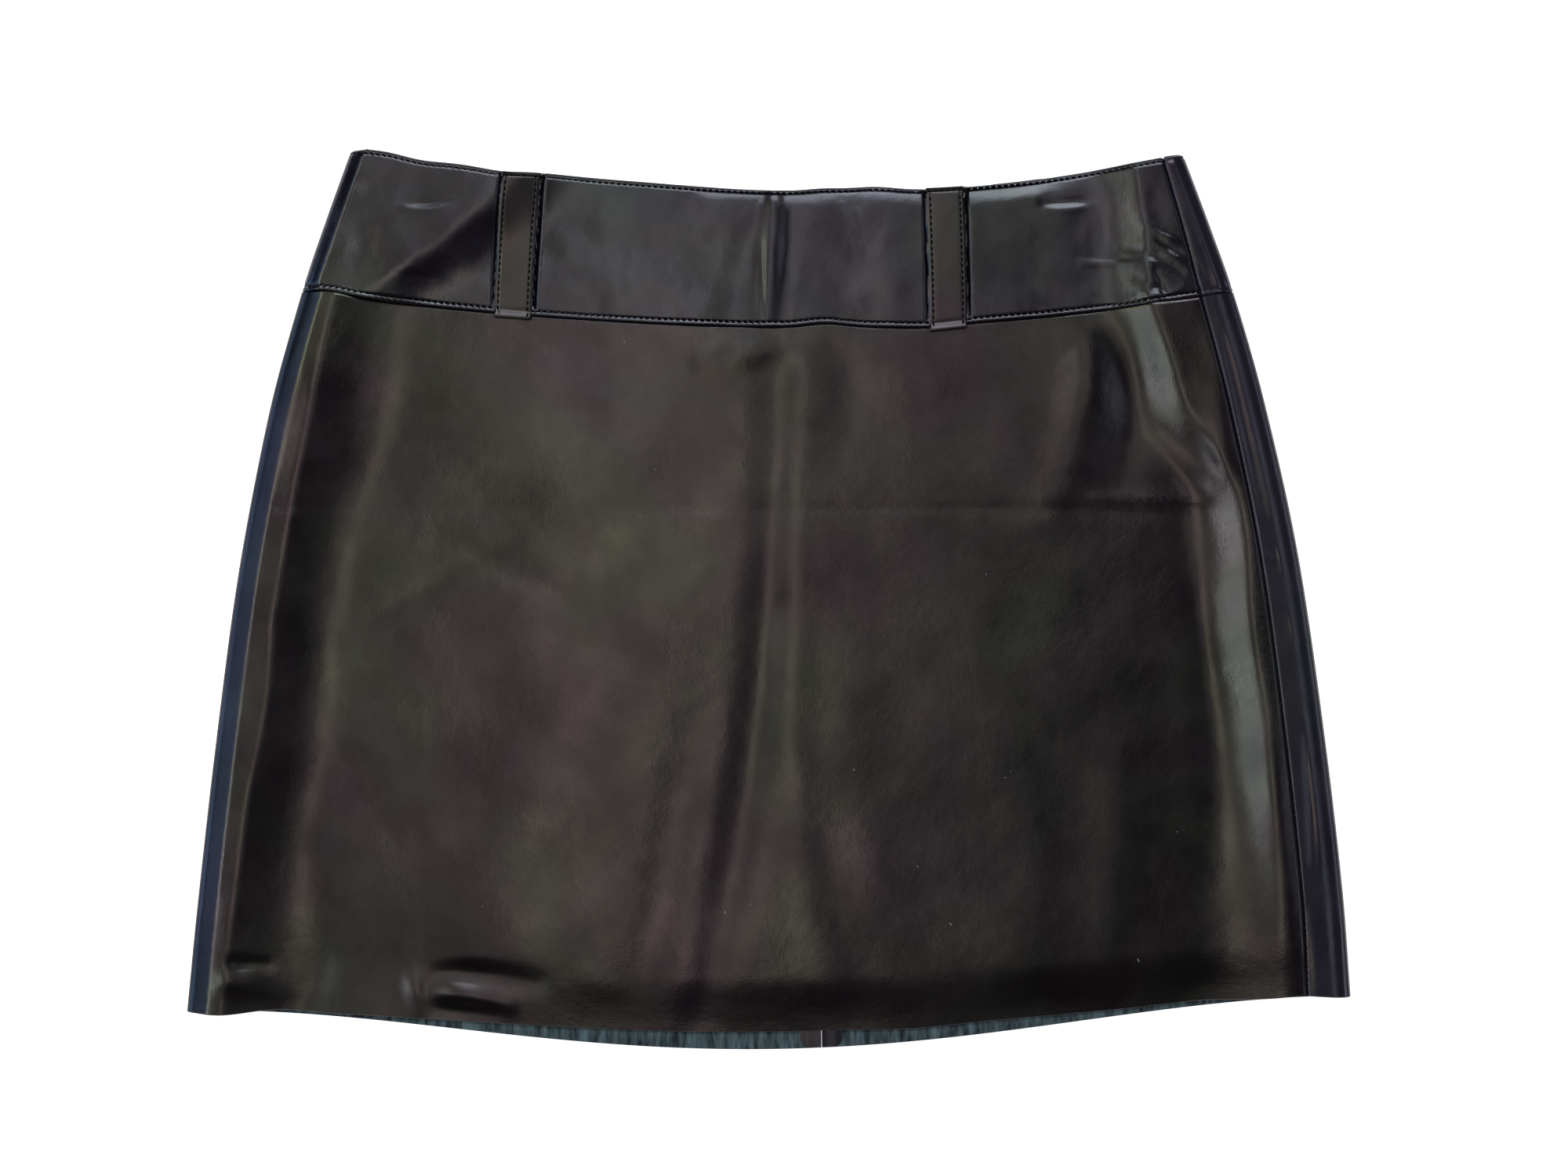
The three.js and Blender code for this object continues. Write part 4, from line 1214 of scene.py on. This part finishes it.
# The pale glowing table that it lies on; the soft light of a room, with a warm ceiling that is darker at the
# right, a cool bright wall at the left and a window past the waist; and the camera straight above.
CAMERA_HEIGHT = 1.2
VIEW_CENTRE = (0.00702, 0.00576)
FLOOR_TOP = -0.0006  # just clear of the skirt's underside
FLOOR_GLOW = 0.85
ROOM_COLOUR = (0.038, 0.032, 0.044, 1)  # what the leather mirrors between the lights
bpy.ops.mesh.primitive_plane_add(size=14, location=(0, 0, FLOOR_TOP))
floor = bpy.context.object
floor.name = "floor"
floor_material, _, floor_shader = node_tree("pale_floor", base_color=(0.9, 0.9, 0.9, 1), roughness=0.9)
floor_shader.inputs["Emission Color"].default_value = (1, 1, 1, 1)
floor_shader.inputs["Emission Strength"].default_value = FLOOR_GLOW
floor.data.materials.append(floor_material)

CEILING_HEIGHT = 5.0
LIGHTS = [
    # name, from corner, to corner, colour, radiance
    ("ceiling_left", (-1.45, -1.7), (-0.58, 1.9), (1.0, 0.90, 0.82), 0.48),
    ("ceiling", (-0.58, -1.15), (-0.02, 0.6), (1.0, 0.90, 0.80), 2.2),
    ("ceiling_waist", (-0.68, 0.6), (0.02, 2.0), (0.96, 0.95, 1.0), 2.2),
    ("ceiling_far_right", (0.38, 0.1), (0.74, 1.9), (1.0, 0.95, 0.90), 1.45),
    ("ceiling_near_right", (0.22, -1.3), (0.72, 0.1), (0.90, 0.90, 1.0), 0.40),
    ("edge_right", (1.9, -1.3), (3.0, 1.5), (0.72, 0.78, 1.0), 1.1),
    ("wall_left_near", (-2.6, -1.5), (-2.1, 0.35), (0.94, 0.98, 1.0), 5.6),
    ("wall_left_near_soft", (-2.1, -1.5), (-1.65, 0.35), (0.94, 0.98, 1.0), 1.9),
    ("wall_left", (-2.6, 0.35), (-2.1, 1.9), (1.0, 1.0, 0.70), 5.4),
    ("wall_left_soft", (-2.1, 0.35), (-1.65, 1.9), (1.0, 1.0, 0.72), 2.0),
    ("sky_high", (-10.0, -1.2), (-2.6, 2.2), (0.40, 0.58, 1.0), 1.3),
    ("window_waist", (-1.2, 2.5), (1.9, 4.4), (0.86, 0.92, 1.0), 7.0),
]
SIDE_LIGHTS = [
    # name, place, size, colour, radiance
    ("sky_left", (-1.9, 0.0, 0.42), (1.6, 0.5), (0.34, 0.55, 1.0), 2.2),
    ("room_near", (0.1, -2.2, 0.9), (1.6, 0.7), (1.0, 0.85, 0.9), 0.6),
    ("room_right", (2.1, 0.1, 0.8), (1.4, 0.5), (0.7, 0.75, 1.0), 1.8),
]


def add_light(name, place, turned, size, colour, radiance):
    """A soft rectangular light of an even radiance, whatever its size."""
    light = bpy.data.lights.new(name, "AREA")
    light.shape = "RECTANGLE"
    light.size, light.size_y = size
    light.color = colour
    light.energy = radiance * math.pi * size[0] * size[1]
    lamp = new_object(name, light)
    lamp.location = place
    lamp.rotation_euler = turned


for name, (x0, y0), (x1, y1), colour, radiance in LIGHTS:
    place = ((x0 + x1) / 2, (y0 + y1) / 2, CEILING_HEIGHT)
    add_light(name, place, (0, 0, 0), (x1 - x0, y1 - y0), colour, radiance)
for name, place, size, colour, radiance in SIDE_LIGHTS:
    add_light(name, place, (-Vector(place)).to_track_quat("-Z", "Y").to_euler(), size, colour, radiance)
world = bpy.data.worlds.new("room")
world.use_nodes = True
background = world.node_tree.nodes["Background"]
background.inputs["Color"].default_value = ROOM_COLOUR
background.inputs["Strength"].default_value = 1.0
bpy.context.scene.world = world

camera_data = bpy.data.cameras.new("camera")
camera_data.lens = 60
camera_data.sensor_width = 36
camera_data.clip_end = 20
camera = new_object("camera", camera_data)
camera.location = (*VIEW_CENTRE, CAMERA_HEIGHT)
bpy.context.scene.camera = camera
bpy.context.scene.view_settings.view_transform = "Standard"
bpy.context.scene.view_settings.look = "None"
